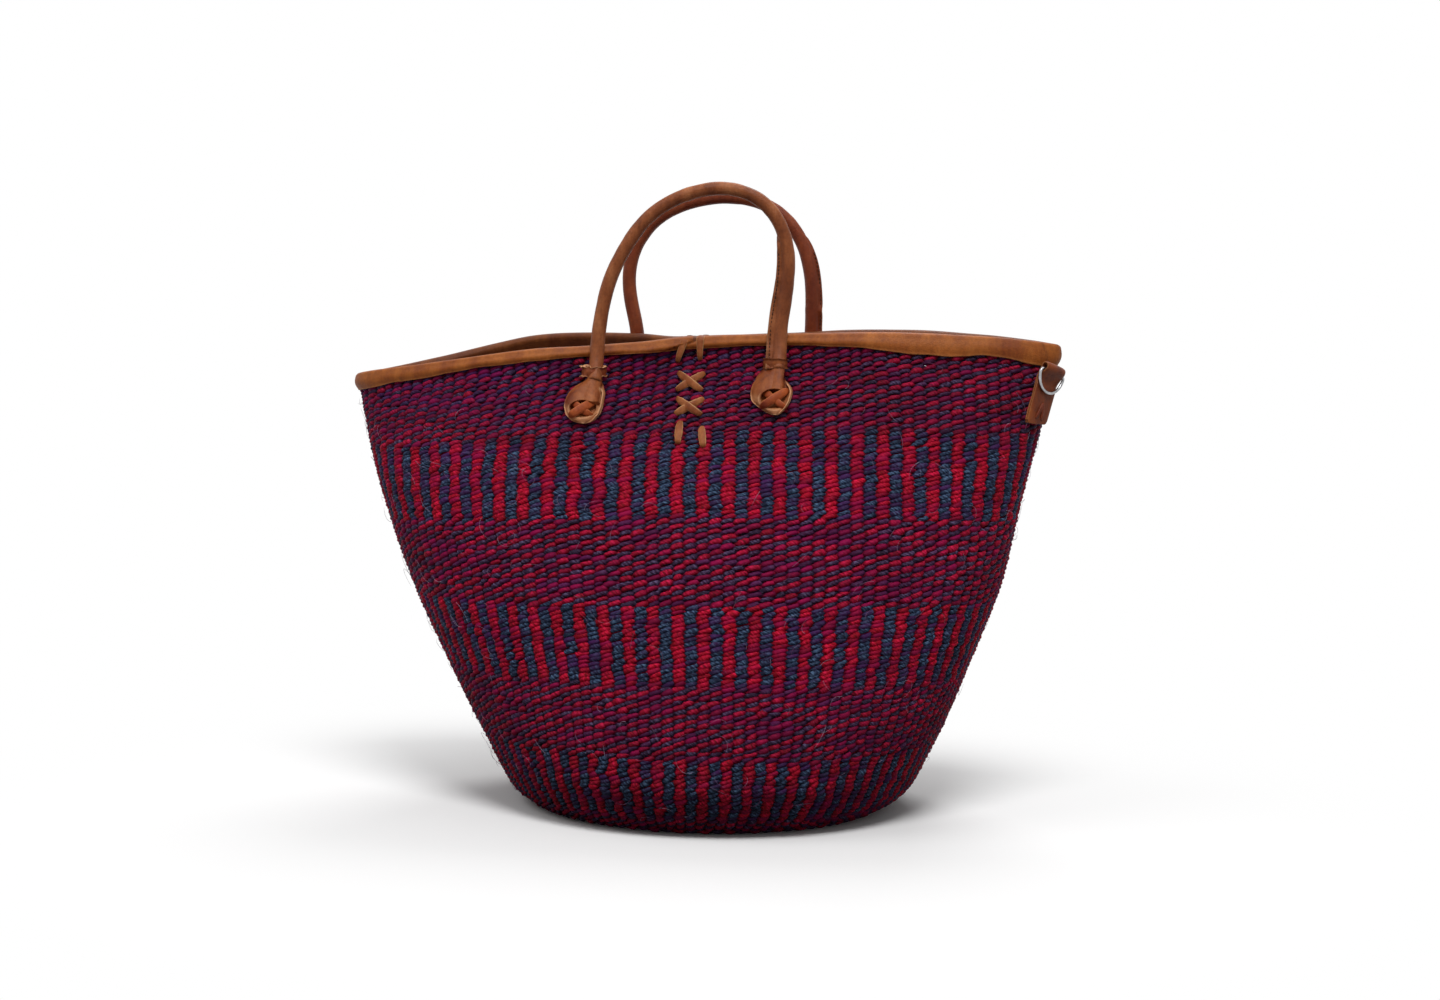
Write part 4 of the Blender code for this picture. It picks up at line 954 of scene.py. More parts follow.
def woven_base():
    """Rows of the flat base from the middle outwards, as a red and a blue piece."""
    made = []
    middle = np.array([BODY_SHIFT, 0.0, 0.0])
    for colour, more in STRAND_PAIR:
        meshes = []
        for row in range(BASE_ROWS):
            share = BASE_INNER_share + (1 - BASE_INNER_share) * (row + 0.5) / BASE_ROWS
            stitches = 2 * round(2 * pi * share * CENTRE_DEPTHS[0] / BASE_STITCH / 2)
            count = max(BASE_FEWEST_STITCHES, stitches) * STEPS_PER_STITCH
            turns = pi + 2 * pi * np.arange(count) / count
            points = (middle + (wall_points(turns, BASE_LEVEL) - middle) * share)[None]
            points[..., 2] = 0.0
            along = unit(np.roll(points, -1, axis=1) - np.roll(points, 1, axis=1))
            out = np.broadcast_to(np.array([0, 0, -1.0]), points.shape)
            shift = np.array([row % 2 + more])
            rings = strand_rings(points, out, np.cross(out, along), shift, colour)
            shift = shift + BASE_ROW_SHIFT * row
            place = row / BASE_ROWS, (row + 1) / BASE_ROWS
            finish = STRANDS["mixed"][colour]
            meshes.append(closed_tubes(f"base_{colour}_{row}", rings, shift, finish, *place))
        made.append(joined(f"base_{colour}", meshes))
    return made


def stray_fibres():
    """Loose ends of sisal that stand off the wall."""
    turns = CHANCE.uniform(0, 2 * pi, STRAYS)
    levels = CHANCE.uniform(*STRAY_LEVELS, STRAYS)
    root = wall_points(turns, levels)
    side = unit(wall_points(turns + STRAY_PROBE, levels) - root)
    rise = unit(wall_points(turns, levels + STRAY_PROBE) - root)
    out = unit(np.cross(side, rise))
    lean = CHANCE.uniform(0, 2 * pi, STRAYS)[:, None]
    bend = CHANCE.normal(0, STRAY_BEND, STRAYS)[:, None]
    length = CHANCE.uniform(*STRAY_LENGTHS, STRAYS)[:, None]
    lift = CHANCE.uniform(*STRAY_LIFTS, STRAYS)[:, None]
    rings = []
    for part in np.linspace(0, 1, STRAY_STATIONS):
        angle = lean + bend * part
        onward = side * np.cos(angle) + rise * np.sin(angle)
        spot = root + length * part * onward
        spot = spot + out * (STRAY_ROOT + lift * np.sin(pi * part * STRAY_ARCH_share))
        thin = STRAY_RADIUS * (1 - STRAY_TAPER_share * part)
        rings.append(round_rings(spot, np.cross(onward, out), out, thin, STRAY_SIDES))
    rings = np.stack(rings, axis=1)
    index = np.arange(rings[..., 0].size).reshape(rings.shape[:3])
    low, high = index[:, :-1], index[:, 1:]
    faces = np.stack([low, high, np.roll(high, -1, axis=2), np.roll(low, -1, axis=2)], axis=-1)
    faces = faces.reshape(-1, 4)
    # Each face has a strip of the texture to itself, with a gap beside it.
    cell = np.arange(len(faces))[:, None] + STRAY_CELL_share * np.array([0, 1, 1, 0])
    flat = np.stack([cell / len(faces), np.broadcast_to([0.0, 0.0, 1.0, 1.0], cell.shape)], axis=-1)
    return mesh_object("stray_fibres", rings.reshape(-1, 3), faces, FINISH["stray_fibre"], flat, flat)


def rim_binding():
    """Leather strip folded over the mouth's edge, its ends lapped at the front's middle."""
    turns = even_turns(1.0, BINDING_STATIONS)
    in_front = np.sin(turns) < 0
    thick = GAP + LEATHER
    middle = WALL_THICKNESS / 2
    inner = WALL_THICKNESS + GAP
    # Each entry: inset, share of the drop, rise over the edge, rawness.
    profile = []
    for fall in np.linspace(1.0, 0.0, BINDING_OUTER_ROWS):
        bulge = BINDING_BULGE * sin(pi * fall) - BINDING_TUCK * fall**4
        profile.append((-thick - bulge, fall, 0.0, 0.5 if fall == 1.0 else 0.0))
    for angle in np.linspace(pi, 0, BINDING_CROWN_ROWS)[1:-1]:
        rise = (thick + BINDING_CROWN) * sin(angle)
        profile.append((middle + (middle + thick) * cos(angle), 0.0, rise, 0.0))
    for fall in np.linspace(0.0, 1.0, BINDING_INNER_ROWS):
        profile.append((WALL_THICKNESS + thick, fall, 0.0, 0.75 if fall == 1.0 else 0.0))
    profile += [
        (WALL_THICKNESS + thick - HEM_TURN, HEM_FALL_share, 0.0, 1.0), (inner, 1.0, 0.0, 0.6),
        (inner, 0.0, GAP, 0.0), (-GAP, 0.0, GAP, 0.0), (-GAP, 1.0, 0.0, 0.6),
        (-thick + HEM_TURN, HEM_FALL_share, 0.0, 1.0),
    ]
    count = len(turns)
    wave, swell, hem = (ripple(count, *looks) for looks in (BINDING_WAVE, BINDING_SWELL, BINDING_HEM))
    across = wall_points(turns, 1.0)[:, 0] - BODY_SHIFT
    drop = BINDING_DROP + (BINDING_TIP_DROP - BINDING_DROP) * np.cos(turns) ** 2
    drop = np.where(in_front, smooth_table(BINDING_PLACES, BINDING_DROPS, across), drop) + hem
    line_from, line_full, line_fades, line_to = LAP_LINE
    rings = []
    raws = []
    dark_laps_and_shades = []
    for inset, fall, rise, raw in profile:
        outer = inset < 0 or rise > GAP
        over = rise > GAP
        puff = (wave * fall + swell) * (1 if inset < middle else -1) * (abs(inset - middle) > middle + GAP)
        spots = wall_points(turns, 1.0 - drop * fall / BODY_HEIGHT, inset - puff)
        past = BODY_SHIFT + LAP_TOP_X + (LAP_FOOT_X - LAP_TOP_X) * fall - spots[:, 0]
        if outer:
            lap = LAP_STEP * step_up(past, 0, LAP_EDGE) * (1 - step_up(past, *LAP_FADE)) * in_front
            spots[:, 1] -= lap
            spots[:, 2] += LAP_LIFT_share * lap * over
        spots[:, 2] += rise + swell * over
        rings.append(spots)
        raws.append(np.full(count, raw))
        line = LAP_DARKNESS * step_up(past, line_from, line_full)
        line = line * (1 - step_up(past, line_fades, line_to))
        along = (across - TIP_LAP_X - TIP_LAP_LEAN * fall) / TIP_LAP_WIDTH
        line = (line + TIP_LAP_DARKNESS * np.exp(-(along**2))) * in_front
        # Painted shade on the inner face of the binding.
        inside = INSIDE_PAINTED_SHADE * (inset > middle) * min(1.0, INSIDE_SHADE_LEAST_share + fall)
        dark_laps_and_shades.append(line * outer + inside)
    made = loft(
        "mouth_binding", np.stack(rings, axis=1), FINISH["binding_leather"], closed=True,
        raw=np.stack(raws, axis=1), dark_lap_and_shade=np.stack(dark_laps_and_shades, axis=1),
    )
    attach(made, "basket")
    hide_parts("rim_binding")


def curve_through(points, step):
    """Evenly stepped Catmull-Rom curve through points."""
    points = np.asarray(points, float)
    padded = np.vstack([2 * points[0] - points[1], points, 2 * points[-1] - points[-2]])
    fine = []
    for a, b, c, d in zip(padded[:-3], padded[1:-2], padded[2:-1], padded[3:]):
        for t in np.linspace(0, 1, CURVE_STEPS, endpoint=False):
            bend = (2 * a - 5 * b + 4 * c - d) * t**2 + (3 * b - a - 3 * c + d) * t**3
            fine.append(0.5 * (2 * b + (c - a) * t + bend))
    fine = np.array([*fine, points[-1]])
    lengths = run_lengths(fine)
    wanted = np.linspace(0, lengths[-1], max(2, round(lengths[-1] / step)) + 1)
    return np.stack([np.interp(wanted, lengths, fine[:, axis]) for axis in range(3)], axis=1)


def eased(path, reach):
    """Path with its lumps smoothed out over a number of stations; its ends stay."""
    places = np.arange(-3 * reach, 3 * reach + 1)
    weights = np.exp(-((places / reach) ** 2) / 2)
    weights /= weights.sum()
    before = 2 * path[0] - path[3 * reach:0:-1]
    after = 2 * path[-1] - path[-2:-3 * reach - 2:-1]
    padded = np.vstack([before, path, after])
    return np.stack([np.convolve(padded[:, axis], weights, "valid") for axis in range(3)], axis=1)


def leg_line(x, side):
    """Neck of a leg, from inside its keeper up to the hinge point."""
    top = rim_height(x, side)
    line = []
    for drop, rise in [(drop, 0.0) for drop in NECK_DROPS] + [(GAP, AXIS_ABOVE_RIM)]:
        y = float(wall_depth(x, top - drop, side)) + side * LEG_STANDOFF
        line.append((x, y, top - drop + rise))
    return line


def hinge_blend(piece):
    """Bake a piece's placement into its mesh."""
    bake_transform(piece)


def handle(word, side, legs, bow, fin_side):
    """Rolled handle as one skin from inside its left keeper to inside its right one."""
    left = leg_line(legs[0] + BODY_SHIFT, side)
    right = leg_line(legs[1] + BODY_SHIFT, side)
    line = list(left)
    for x, height in bow:
        x += BODY_SHIFT
        part = (x - left[-1][0]) / (right[-1][0] - left[-1][0])
        height += BOW_LIFTS[word] * float(step_up(height, *BOW_LIFT_SPAN))
        line.append((x, left[-1][1] + (right[-1][1] - left[-1][1]) * part, BODY_HEIGHT + height))
    line += reversed(right)
    path = eased(curve_through(line, TUBE_STEP), round(BOW_EASE / TUBE_STEP))
    axis = unit(np.array(right[-1]) - np.array(left[-1]))
    across = np.cross(unit(np.array([0, 0, 1.0]) - axis * axis[2]), axis)
    onward = unit(np.gradient(path, axis=0))
    inward = unit(np.cross(across, onward))
    sideways = np.cross(onward, inward)
    count = len(path)
    share = np.linspace(0, 1, count)
    size = TUBE_SIZE_share + ripple(count, *TUBE_LUMPS) - TUBE_SLIMNESS_share * np.sin(pi * share) ** 2
    highest = FIN_HEIGHTS[word]
    fin = highest * smooth_table(FIN_PLACE_shares, FIN_shares, share)
    wobble = ripple(count, *TUBE_TWIST)
    flatness, flat_turn, flat_drift = TUBE_FLATNESS
    rings = []
    raws = []
    for number in range(TUBE_SIDES):
        turn = 2 * pi * number / TUBE_SIDES
        turn = turn - SEAM_CROWDING * sin(turn)
        off_seam = min(turn, 2 * pi - turn)
        near = np.exp(-((off_seam / FIN_WIDTH) ** 2))
        groove = GROOVE_DEPTH * np.exp(-((off_seam / GROOVE_WIDTH) ** 2)) * (fin < FIN_LEAST)
        flat = 1 + flatness * np.cos(2 * (turn - flat_turn) + wobble * flat_drift)
        radius = TUBE_RADIUS * size * flat + fin * near - groove
        angle = turn + (0 if fin_side > 0 else pi) + wobble
        deep, wide = radius * np.cos(angle), radius * np.sin(angle)
        rings.append(path + inward * deep[:, None] + sideways * wide[:, None])
        raws.append(step_up(fin * near, FIN_RAW_FROM_share * highest, highest) * FIN_RAWNESS)
    # The back handle takes the handle leather's painted-shade copy.
    finish = FINISH["handle_leather" if word == "front" else "shaded_handle_leather"]
    made = loft("handle_" + word, np.stack(rings, axis=1), finish, raw=np.stack(raws, axis=1))
    hinge_blend(made)
    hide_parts(f"handle_{word}_cover")
    fin_stitches(word, path, inward * fin_side, sideways, fin)
    core(word, path)


def fin_stitches(word, path, outward, sideways, fin):
    """Thread along both faces of a handle's seam fin."""
    lengths = run_lengths(path)
    stands = np.flatnonzero(fin > THREAD_FIN_share * FIN_HEIGHTS[word])
    stitches = []
    for place in np.arange(lengths[stands[0]], lengths[stands[-1]], THREAD_PITCH):
        for face in (-1, 1):
            spots = []
            for along in np.linspace(-0.5, 0.5, THREAD_STATIONS):
                index = np.interp(place + along * THREAD_LENGTH, lengths, np.arange(len(path)))
                whole = int(index)
                rest = index - whole
                base = path[whole] * (1 - rest) + path[min(whole + 1, len(path) - 1)] * rest
                out = outward[whole] * (TUBE_RADIUS + THREAD_PLACE_share * fin[whole])
                lift = THREAD_STANDOFF + THREAD_ARCH * cos(pi * along)
                spots.append(base + out + face * lift * sideways[whole])
            rings = round_rings(np.array(spots), outward[whole], sideways[whole], THREAD_RADIUS, THREAD_SIDES)
            stitches.append(loft(f"stitch_{word}", rings, FINISH["seam_thread"]))
    hinge_blend(joined(f"seam_stitches_{word}", stitches))


def core(word, path):
    """Cord inside a rolled handle, from hinge to hinge."""
    lowest = joint_spot(word + "_handle_fold")[2] + CORE_ABOVE_HINGE
    inner = path[path[:, 2] > lowest]
    onward = unit(np.gradient(inner, axis=0))
    aside = unit(np.cross(onward, np.array([0, 1.0, 0])))
    rings = round_rings(inner, aside, np.cross(onward, aside), CORE_RADIUS, CORE_SIDES)
    made = loft("core_" + word, rings, FINISH["pale_cord"])
    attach(made, word + "_handle")
    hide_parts(f"handle_{word}_core")


def strap(name, line, outward, width, finish, half_thick=STRAP_HALF_THICKNESS, pale=STRAP_RAWNESS):
    """Thong along a line, its flat side outward, narrower where its ends dive."""
    path = curve_through(line, STRAP_STEP)
    onward = unit(np.gradient(path, axis=0))
    out = np.asarray(outward, float)
    out = unit(out - onward * (onward @ out)[:, None])
    wide = np.cross(onward, out)
    part = np.linspace(-1, 1, len(path))
    taper = STRAP_TAPER_share * np.abs(part) ** STRAP_TAPER_POWER
    half = width / 2 * (1 - taper + ripple(len(path), *STRAP_RIPPLE))
    flatter, deeper = STRAP_SQUARENESS
    rings = []
    raws = []
    for number in range(STRAP_SIDES):
        # A circle squared off to a strap's section.
        turn = 2 * pi * number / STRAP_SIDES
        across = np.sign(cos(turn)) * abs(cos(turn)) ** flatter
        deep = np.sign(sin(turn)) * abs(sin(turn)) ** deeper
        crown = half_thick * deep + STRAP_CROWN * (1 - across**2)
        rings.append(path + wide * (half * across)[:, None] + out * crown)
        raws.append(np.full(len(path), pale * step_up(abs(across), *RAW_STRAP_shares)))
    return loft(name, np.stack(rings, axis=1), FINISH[finish], raw=np.stack(raws, axis=1))


def placed(piece, node):
    """A thong or lace rides the basket and stands for its node."""
    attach(piece, "basket")
    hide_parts(node)


def spoon(word, hand, side, x):
    """Leg end: below its keeper the tube swells into a hood, open below, with a curled raw lip."""
    shape = LEG_ENDS[hand]
    drops, lefts, rights = np.array(shape["outline"]).T
    fall = np.linspace(drops[0], drops[-1], SPOON_SLICES)[:, None]
    left = smooth_table(drops, lefts, fall)
    right = smooth_table(drops, rights, fall)
    part = (fall - drops[0]) / (drops[-1] - drops[0])
    share = np.linspace(0, 1, SPOON_FRONT_SIDES)
    share = np.concatenate([share, np.linspace(1, 0, SPOON_BACK_SIDES)[1:-1]])
    faces_front = np.arange(len(share)) < SPOON_FRONT_SIDES
    across = left + (right - left) * share

    # Front: a hood over the whole width, the tube's ridge in it, a strip curled up at the right.
    spot, low, half_wide, half_high = shape["opening"]
    tube_edge = RIDGE_WIDTH_share * TUBE_RADIUS
    reach = tube_edge + (right - tube_edge) * step_up(fall, low - HOOD_SPREADS_share * half_high, low)
    place = np.clip((across - left) / (reach - left), 0, 1)
    flank, crown = HOOD_ROUNDNESS
    hood = smooth_table(HOOD_shares, HOOD_HEIGHTS, part)
    hood = hood * np.maximum(0, 1 - np.abs(2 * place - 1) ** flank) ** crown
    round_share = np.clip(across / TUBE_RADIUS, -1, 1)
    rounded = TUBE_RADIUS * np.sqrt(1 - round_share**2)
    tube = LEG_STANDOFF + rounded
    ridge = tube * (1 - RIDGE_SINK_share * part) * (np.abs(across) < TUBE_RADIUS)
    lower = step_up(fall, low - half_high, low)
    front = np.maximum(hood, ridge * (1 - lower))
    away = np.sqrt(((across - spot) / half_wide) ** 2 + ((fall - low) / half_high) ** 2)
    front = front + (HOLLOW_HEIGHT - front) * (1 - step_up(away, *HOLLOW_EDGE_shares))
    curl = np.exp(-(((across - right + STRIP_INSET) / STRIP_WIDTH) ** 2))
    curl = curl * step_up(fall, shape["strip"], shape["strip"] + STRIP_GROWTH)
    sunk = STRIP_SINK_share * step_up(part, *STRIP_SINKS_shares)
    front = np.maximum(front, STRIP_HEIGHT * curl * (1 - sunk))
    front = np.maximum(front, SPOON_BACK + LEATHER)

    opened = step_up(fall, *(drops[0] + start for start in SPOON_OPENS))
    front = tube + (front - tube) * opened
    behind = LEG_STANDOFF - rounded
    behind = behind + (SPOON_BACK - behind) * opened
    ruffle = ripple(SPOON_SLICES, *SPOON_RUFFLE)[:, None] * opened * (2 * share - 1) ** 3
    xs = x + across + ruffle
    zs = np.broadcast_to(rim_height(x, side) - fall, xs.shape)
    plain = wall_depth(x + 0 * across, zs, side)
    deep = np.where(faces_front, front, behind)
    ys = plain + (wall_depth(xs, zs, side) - plain) * opened + side * deep

    edge = step_up(np.abs(2 * share - 1), *RAW_SIDE_shares)
    edge = np.maximum(edge, step_up(part, *RAW_FOOT_shares))
    ring_place, ring_width, ring_rawness = RAW_RING
    crest = np.exp(-(((away - ring_place) / ring_width) ** 2)) * ring_rawness
    raw = np.maximum(curl * RAW_STRIP, np.maximum(edge, crest) * lower)
    raw = np.maximum(raw, RAW_LOWER * lower * (away > 1.0)) * faces_front
    skin = np.stack([xs, ys, zs], axis=-1)
    made = loft(f"leg_end_{word}_{hand}", skin, FINISH["leg_end_leather"], raw=raw)
    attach(made, "basket")
    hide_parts(f"spoon_{word}_{hand}")

    # The crossed thong that fills the opening.
    straps = []
    part = np.linspace(-1, 1, THONG_STATIONS)
    for lean, rise, wide in THONG_STRAPS:
        xs = x + spot + THONG_SHIFT + part * (half_wide - THONG_INSET)
        zs = rim_height(x, side) - low + lean * part * (half_high - THONG_INSET_UP)
        arch = HOLLOW_HEIGHT + THONG_CLEARANCE + rise * (1 - part**4)
        line = np.stack([xs, wall_depth(xs, zs, side) + side * arch, zs], axis=1)
        title = f"cross_{word}_{hand}_{lean}"
        straps.append(strap(title, line, (0, side, 0), wide, "thong_leather", THONG_HALF_THICKNESS))
    placed(joined(f"cross_{word}_{hand}", straps), f"spoon_thong_{word}_{hand}")


def keeper(word, hand, side, x):
    """Leather band round a leg; its edges may stand out in a frill."""
    turns = 2 * pi * np.arange(KEEPER_SIDES) / KEEPER_SIDES
    aside, drop, height, half_width, tilt = KEEPERS[hand]
    frill = FRILLS[hand]
    x = x + aside
    top = rim_height(x, side) - drop
    middle = float(wall_depth(x, top - height / 2, side)) + side * LEG_STANDOFF
    slope = float(wall_depth(x + KEEPER_SPAN, top, side) - wall_depth(x - KEEPER_SPAN, top, side))
    slope = slope / (2 * KEEPER_SPAN)
    wave = ripple(KEEPER_SIDES, FRILL_KNOTS, frill)
    hem = ripple(KEEPER_SIDES, FRILL_HEM_KNOTS, frill * FRILL_HEM_share)
    rings = []
    raws = []
    half = height / 2
    for out, share, raw in KEEPER_PROFILE:
        flare = wave * abs(share) ** 2
        xs = x + (half_width + out + flare) * np.cos(turns)
        deep = KEEPER_HALF_DEPTH + out + np.minimum(flare, FRILL_DEPTH)
        ys = middle + slope * (xs - x) + deep * np.sin(turns)
        zs = top - half + share * (half + hem) + tilt * side * np.sin(turns)
        rings.append(np.stack([xs, ys, zs], axis=-1))
        raws.append(np.full(KEEPER_SIDES, raw * min(1.0, frill / FRILLS["left"])))
    finish = FINISH["band_leather" if hand == "left" else "leg_end_leather"]
    skin = np.stack(rings, axis=1)
    made = loft(f"band_{word}_{hand}", skin, finish, closed=True, raw=np.stack(raws, axis=1))
    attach(made, "basket")
    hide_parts(f"keeper_{word}_{hand}")


def lace(title, xs, zs, lift, side, more=()):
    """Lace strap on the wall, lifted off it, and along more points after that."""
    line = np.stack([xs, wall_depth(xs, zs, side) + side * lift, zs], axis=1)
    return strap(title, np.array([*line, *more]), (0, side, 0), LACE_WIDTH, "lace_leather")


def lacing(word, side):
    """Crosses, upright stitches and rim stitches of a closure tab's lacing."""
    part = np.linspace(-1, 1, CROSS_STATIONS)
    for name, left, right, drop, height, lean in CROSSES:
        straps = []
        xs = BODY_SHIFT + (left + right) / 2 + part * (right - left) / 2
        for arch, turned in ((0.0, -lean), (CROSS_OVER, lean)):
            zs = BODY_HEIGHT - drop - height / 2 + part * turned * height / 2
            lift = CROSS_LIFT + arch * (1 - part**2) - CROSS_DIVE * part**6
            straps.append(lace(f"{name}_{word}_{turned}", xs, zs, lift, side))
        placed(joined(f"{name}_{word}", straps), f"{name}_{word}")
    part = np.linspace(0, 1, UPRIGHT_STATIONS)
    for name, top_x, foot_x, drop, height in UPRIGHTS:
        xs = BODY_SHIFT + top_x + (foot_x - top_x) * part
        lift = UPRIGHT_LIFT - UPRIGHT_DIVE * (2 * part - 1) ** 6 + UPRIGHT_ARCH * np.sin(pi * part)
        made = lace(f"{name}_{word}", xs, BODY_HEIGHT - drop - height * part, lift, side)
        placed(made, f"{name}_{word}")
    up, over, down = RIM_STITCH_STATIONS
    part = np.linspace(0, 1, up)
    out = GAP + LEATHER + RIM_STITCH_LIFT
    reach = out + WALL_THICKNESS / 2
    for name, foot_x, top_x, drop in RIM_STITCHES:
        x = BODY_SHIFT + top_x
        rim = rim_height(x, side)
        # Over the top in a half round, then down inside.
        middle = float(wall_depth(x, rim, side)) - side * WALL_THICKNESS / 2
        more = []
        for angle in np.linspace(0, pi, over)[1:]:
            more.append((x, middle + side * reach * cos(angle), rim + RIM_STITCH_CROWN * sin(angle)))
        more += [(x, middle - side * reach, rim - drop * share) for share in np.linspace(0, 1, down)[1:]]
        xs = BODY_SHIFT + foot_x + (top_x - foot_x) * part
        lift = out - RIM_STITCH_DIVE * (1 - part) ** 5
        made = lace(f"{name}_{word}", xs, rim - drop * (1 - part), lift, side, more)
        placed(made, f"{name}_{word}")


def ring_tab(hand):
    """Strap folded round the ring's bar, rounded at its lower corners, with its stitch."""
    pivot = joint_spot(hand + "_ring_swing")
    along, inward, upward = (np.array(direction) for direction in RING_TABS[hand])
    low = RING_TAB_LENGTH + RING_TAB_SLANT * RING_TAB_HALF_WIDTH
    line = [(0, REAR_DEPTH, -low * part) for part in RING_TAB_LEG_shares]
    for turn in np.linspace(0, ROLL_SWEEP, ROLL_POINTS):
        line.append((0, ROLL_RADIUS * cos(turn), ROLL_RADIUS * sin(turn)))
    line += [(0, FACE_DEPTH, -low * part) for part in reversed(RING_TAB_LEG_shares)]
    path = curve_through(line, RING_TAB_STEP)
    onward = unit(np.gradient(path, axis=0))
    share = np.linspace(-1, 1, RING_TAB_COLUMNS)
    outer = np.repeat((1.0, -1.0), RING_TAB_COLUMNS)
    share = np.concatenate([share, share[::-1]])
    fall = np.clip((-path[:, 2] - ROLL_REACH) / (RING_TAB_LENGTH - ROLL_REACH), 0, 1)[:, None]
    waist = ROLL_WAIST * np.exp(-((path[:, 2:3] / ROLL_REACH) ** 2))
    half = RING_TAB_HALF_WIDTH * (1 - RING_TAB_TAPER_share * fall) - waist
    half = half + ripple(len(path), *RING_TAB_EDGE)[:, None]
    xs = half * share
    thinner, power = RING_TAB_THINNING
    thick = outer * RING_TAB_LAYER / 2 * (1 - thinner * np.abs(share) ** power)
    thick = thick + RING_TAB_SAG * (1 - share**2) * (1 - fall)
    ys = path[:, 1:2] + thick * onward[:, 2:3]
    zs = path[:, 2:3] - thick * onward[:, 1:2]
    slant = RING_TAB_SLANT if hand == "right" else -RING_TAB_SLANT
    corner = np.clip((np.abs(xs) - half + RING_TAB_CORNER) / RING_TAB_CORNER, 0, 1)
    foot = -RING_TAB_LENGTH + slant * xs + RING_TAB_CORNER * (1 - np.sqrt(1 - corner**2))
    cut = zs < foot
    zs = np.maximum(zs, foot)
    rings = pivot + xs[..., None] * along + ys[..., None] * inward + zs[..., None] * upward
    raws = np.maximum(RAW_TAB_SIDE * (np.abs(share) > RAW_TAB_SIDE_share), RAW_TAB_FOOT * cut)
    made = loft(f"strap_tab_{hand}", rings, FINISH["tab_leather"], raw=raws)
    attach(made, "basket")
    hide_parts(hand + "_tab")
    stitches = []
    part = np.linspace(0, 1, TAB_STITCH_STATIONS)[:, None]
    deep = FACE_DEPTH - RING_TAB_LAYER / 2 - TAB_STITCH_ARCH * np.sin(pi * part) ** 0.5 + TAB_STITCH_SINK
    for lean in TAB_STITCH_LEANS:
        spots = pivot + along * (lean * part + TAB_STITCH_SHIFT) + inward * deep
        spots = spots + upward * (-TAB_STITCH_TOP - TAB_STITCH_LENGTH * part)
        title = f"tab_stitch_{hand}"
        stitches.append(strap(title, spots, -inward, TAB_STITCH_WIDTH, "shaded_handle_leather", pale=0.0))
    placed(joined(f"tab_stitch_{hand}", stitches), hand + "_tab_thong")


def ring(hand):
    """Steel ring, a rounded copy of the part's own."""
    mesh = frame["nodes"][hand + "_ring"].data.copy()
    shape = bmesh.new()
    shape.from_mesh(mesh)
    bmesh.ops.remove_doubles(shape, verts=shape.verts, dist=MERGE_DISTANCE)
    bmesh.ops.join_triangles(
        shape, faces=shape.faces, angle_face_threshold=FLAT_LIMIT, angle_shape_threshold=SKEW_LIMIT,
    )
    shape.to_mesh(mesh)
    shape.free()
    mesh.materials.clear()
    mesh.materials.append(FINISH["bright_steel"])
    mesh.shade_smooth()
    made = linked(f"smooth_{hand}_ring", mesh)
    change = made.modifiers.new("rounding", "SUBSURF")
    change.levels = change.render_levels = 2
    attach(made, hand + "_ring_body")
    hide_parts(hand + "_ring")


def dressed(node, material):
    """Give a CAD node that stays in view its material."""
    mesh = frame["nodes"][node].data
    mesh.materials.clear()
    mesh.materials.append(material)


def camera():
    """Camera with the photograph's place, direction, roll and framing."""
    data = bpy.data.cameras.new("camera")
    data.lens = CAMERA_LENS
    data.sensor_width = CAMERA_SENSOR
    data.shift_x = CAMERA_SHIFT
    data.clip_start = CAMERA_NEAR
    made = linked("camera", data)
    forward = Vector(CAMERA_FORWARD).normalized()
    right = forward.cross(Vector((0, 0, 1))).normalized()
    rolled = (right + right.cross(forward) * CAMERA_ROLL).normalized()
    turn = Matrix((rolled, rolled.cross(forward), -forward)).transposed().to_4x4()
    made.matrix_world = Matrix.Translation(CAMERA_PLACE) @ turn
    bpy.context.scene.camera = made


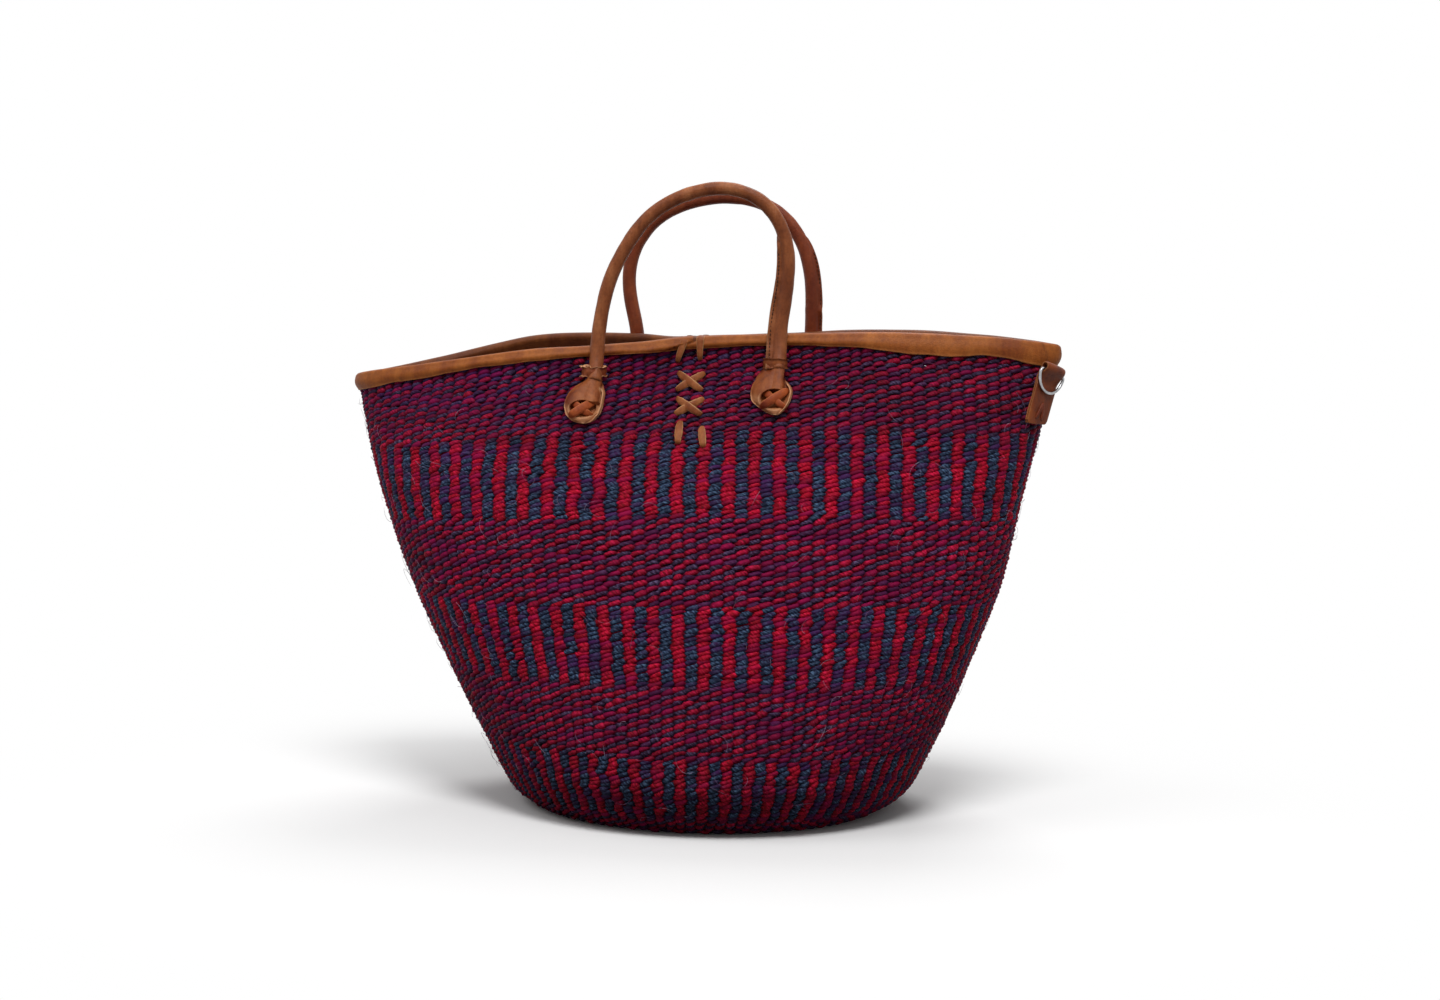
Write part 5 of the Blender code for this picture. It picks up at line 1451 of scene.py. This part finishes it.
def stage():
    """Pale floor that fades to white, the white world and soft lamps."""
    made, graph, place = new_material("stage_pale")
    graph.nodes.remove(graph.nodes["Principled BSDF"])
    tone = graph.mix(graph.add("LightPath", "Is Camera Ray"), FLOOR_BOUNCE, FLOOR_PALE)
    pale = graph.add("BsdfDiffuse", "BSDF", ("Color", tone))
    white = graph.add("Emission", "Emission", ("Strength", 1.0))
    away = graph.add("VectorMath", "Value", (0, place), operation="LENGTH")
    fade = graph.sum("MULTIPLY", graph.straight_rays(), graph.spread(away, *FLOOR_FADE, 0.0, 1.0))
    surface = graph.add("MixShader", "Shader", ("Fac", fade), (1, pale), (2, white))
    graph.feed(graph.nodes["Material Output"].inputs["Surface"], surface)
    bpy.ops.mesh.primitive_circle_add(
        vertices=FLOOR_SIDES, radius=FLOOR_RADIUS, fill_type="NGON", location=(0, 0, FLOOR_LEVEL),
    )
    floor = bpy.context.object
    floor.name = "floor"
    floor.data.materials.append(made)

    world = bpy.data.worlds.new("world")
    bpy.context.scene.world = world
    world.use_nodes = True
    graph = Graph(world.node_tree)
    back = graph.nodes["Background"].inputs
    back["Color"].default_value = (1, 1, 1, 1)
    graph.feed(back["Strength"], graph.spread(graph.straight_rays(), 0.0, 1.0, WORLD_LIGHT, 1.0, "LINEAR"))

    for name, place, target, size, watts in LAMPS:
        data = bpy.data.lights.new(name, "AREA")
        data.shape = "DISK"
        data.size = size
        data.energy = watts
        aim = (Vector(target) - Vector(place)).to_track_quat("-Z", "Y")
        linked(name, data).matrix_world = Matrix.Translation(place) @ aim.to_matrix().to_4x4()


weave = woven_wall() + woven_base() + [stray_fibres()]
for piece in weave:
    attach(piece, "basket")
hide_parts("woven_body")

rim_binding()
for word, side, legs, bow, fin_side in (
    ("front", -1, FRONT_LEGS_X, FRONT_BOW, 1), ("back", 1, BACK_LEGS_X, BACK_BOW, -1),
):
    handle(word, side, legs, bow, fin_side)
    for hand, leg_x in zip(("left", "right"), legs):
        spoon(word, hand, side, leg_x + BODY_SHIFT)
        keeper(word, hand, side, leg_x + BODY_SHIFT)
    lacing(word, side)
    dressed("closure_tab_" + word, FINISH["dark_leather"])
    dressed("snap_half_" + word, FINISH["bright_steel"])
for hand in ("right", "left"):
    ring_tab(hand)
    ring(hand)

camera()
stage()
bpy.context.scene.view_settings.view_transform = "Standard"
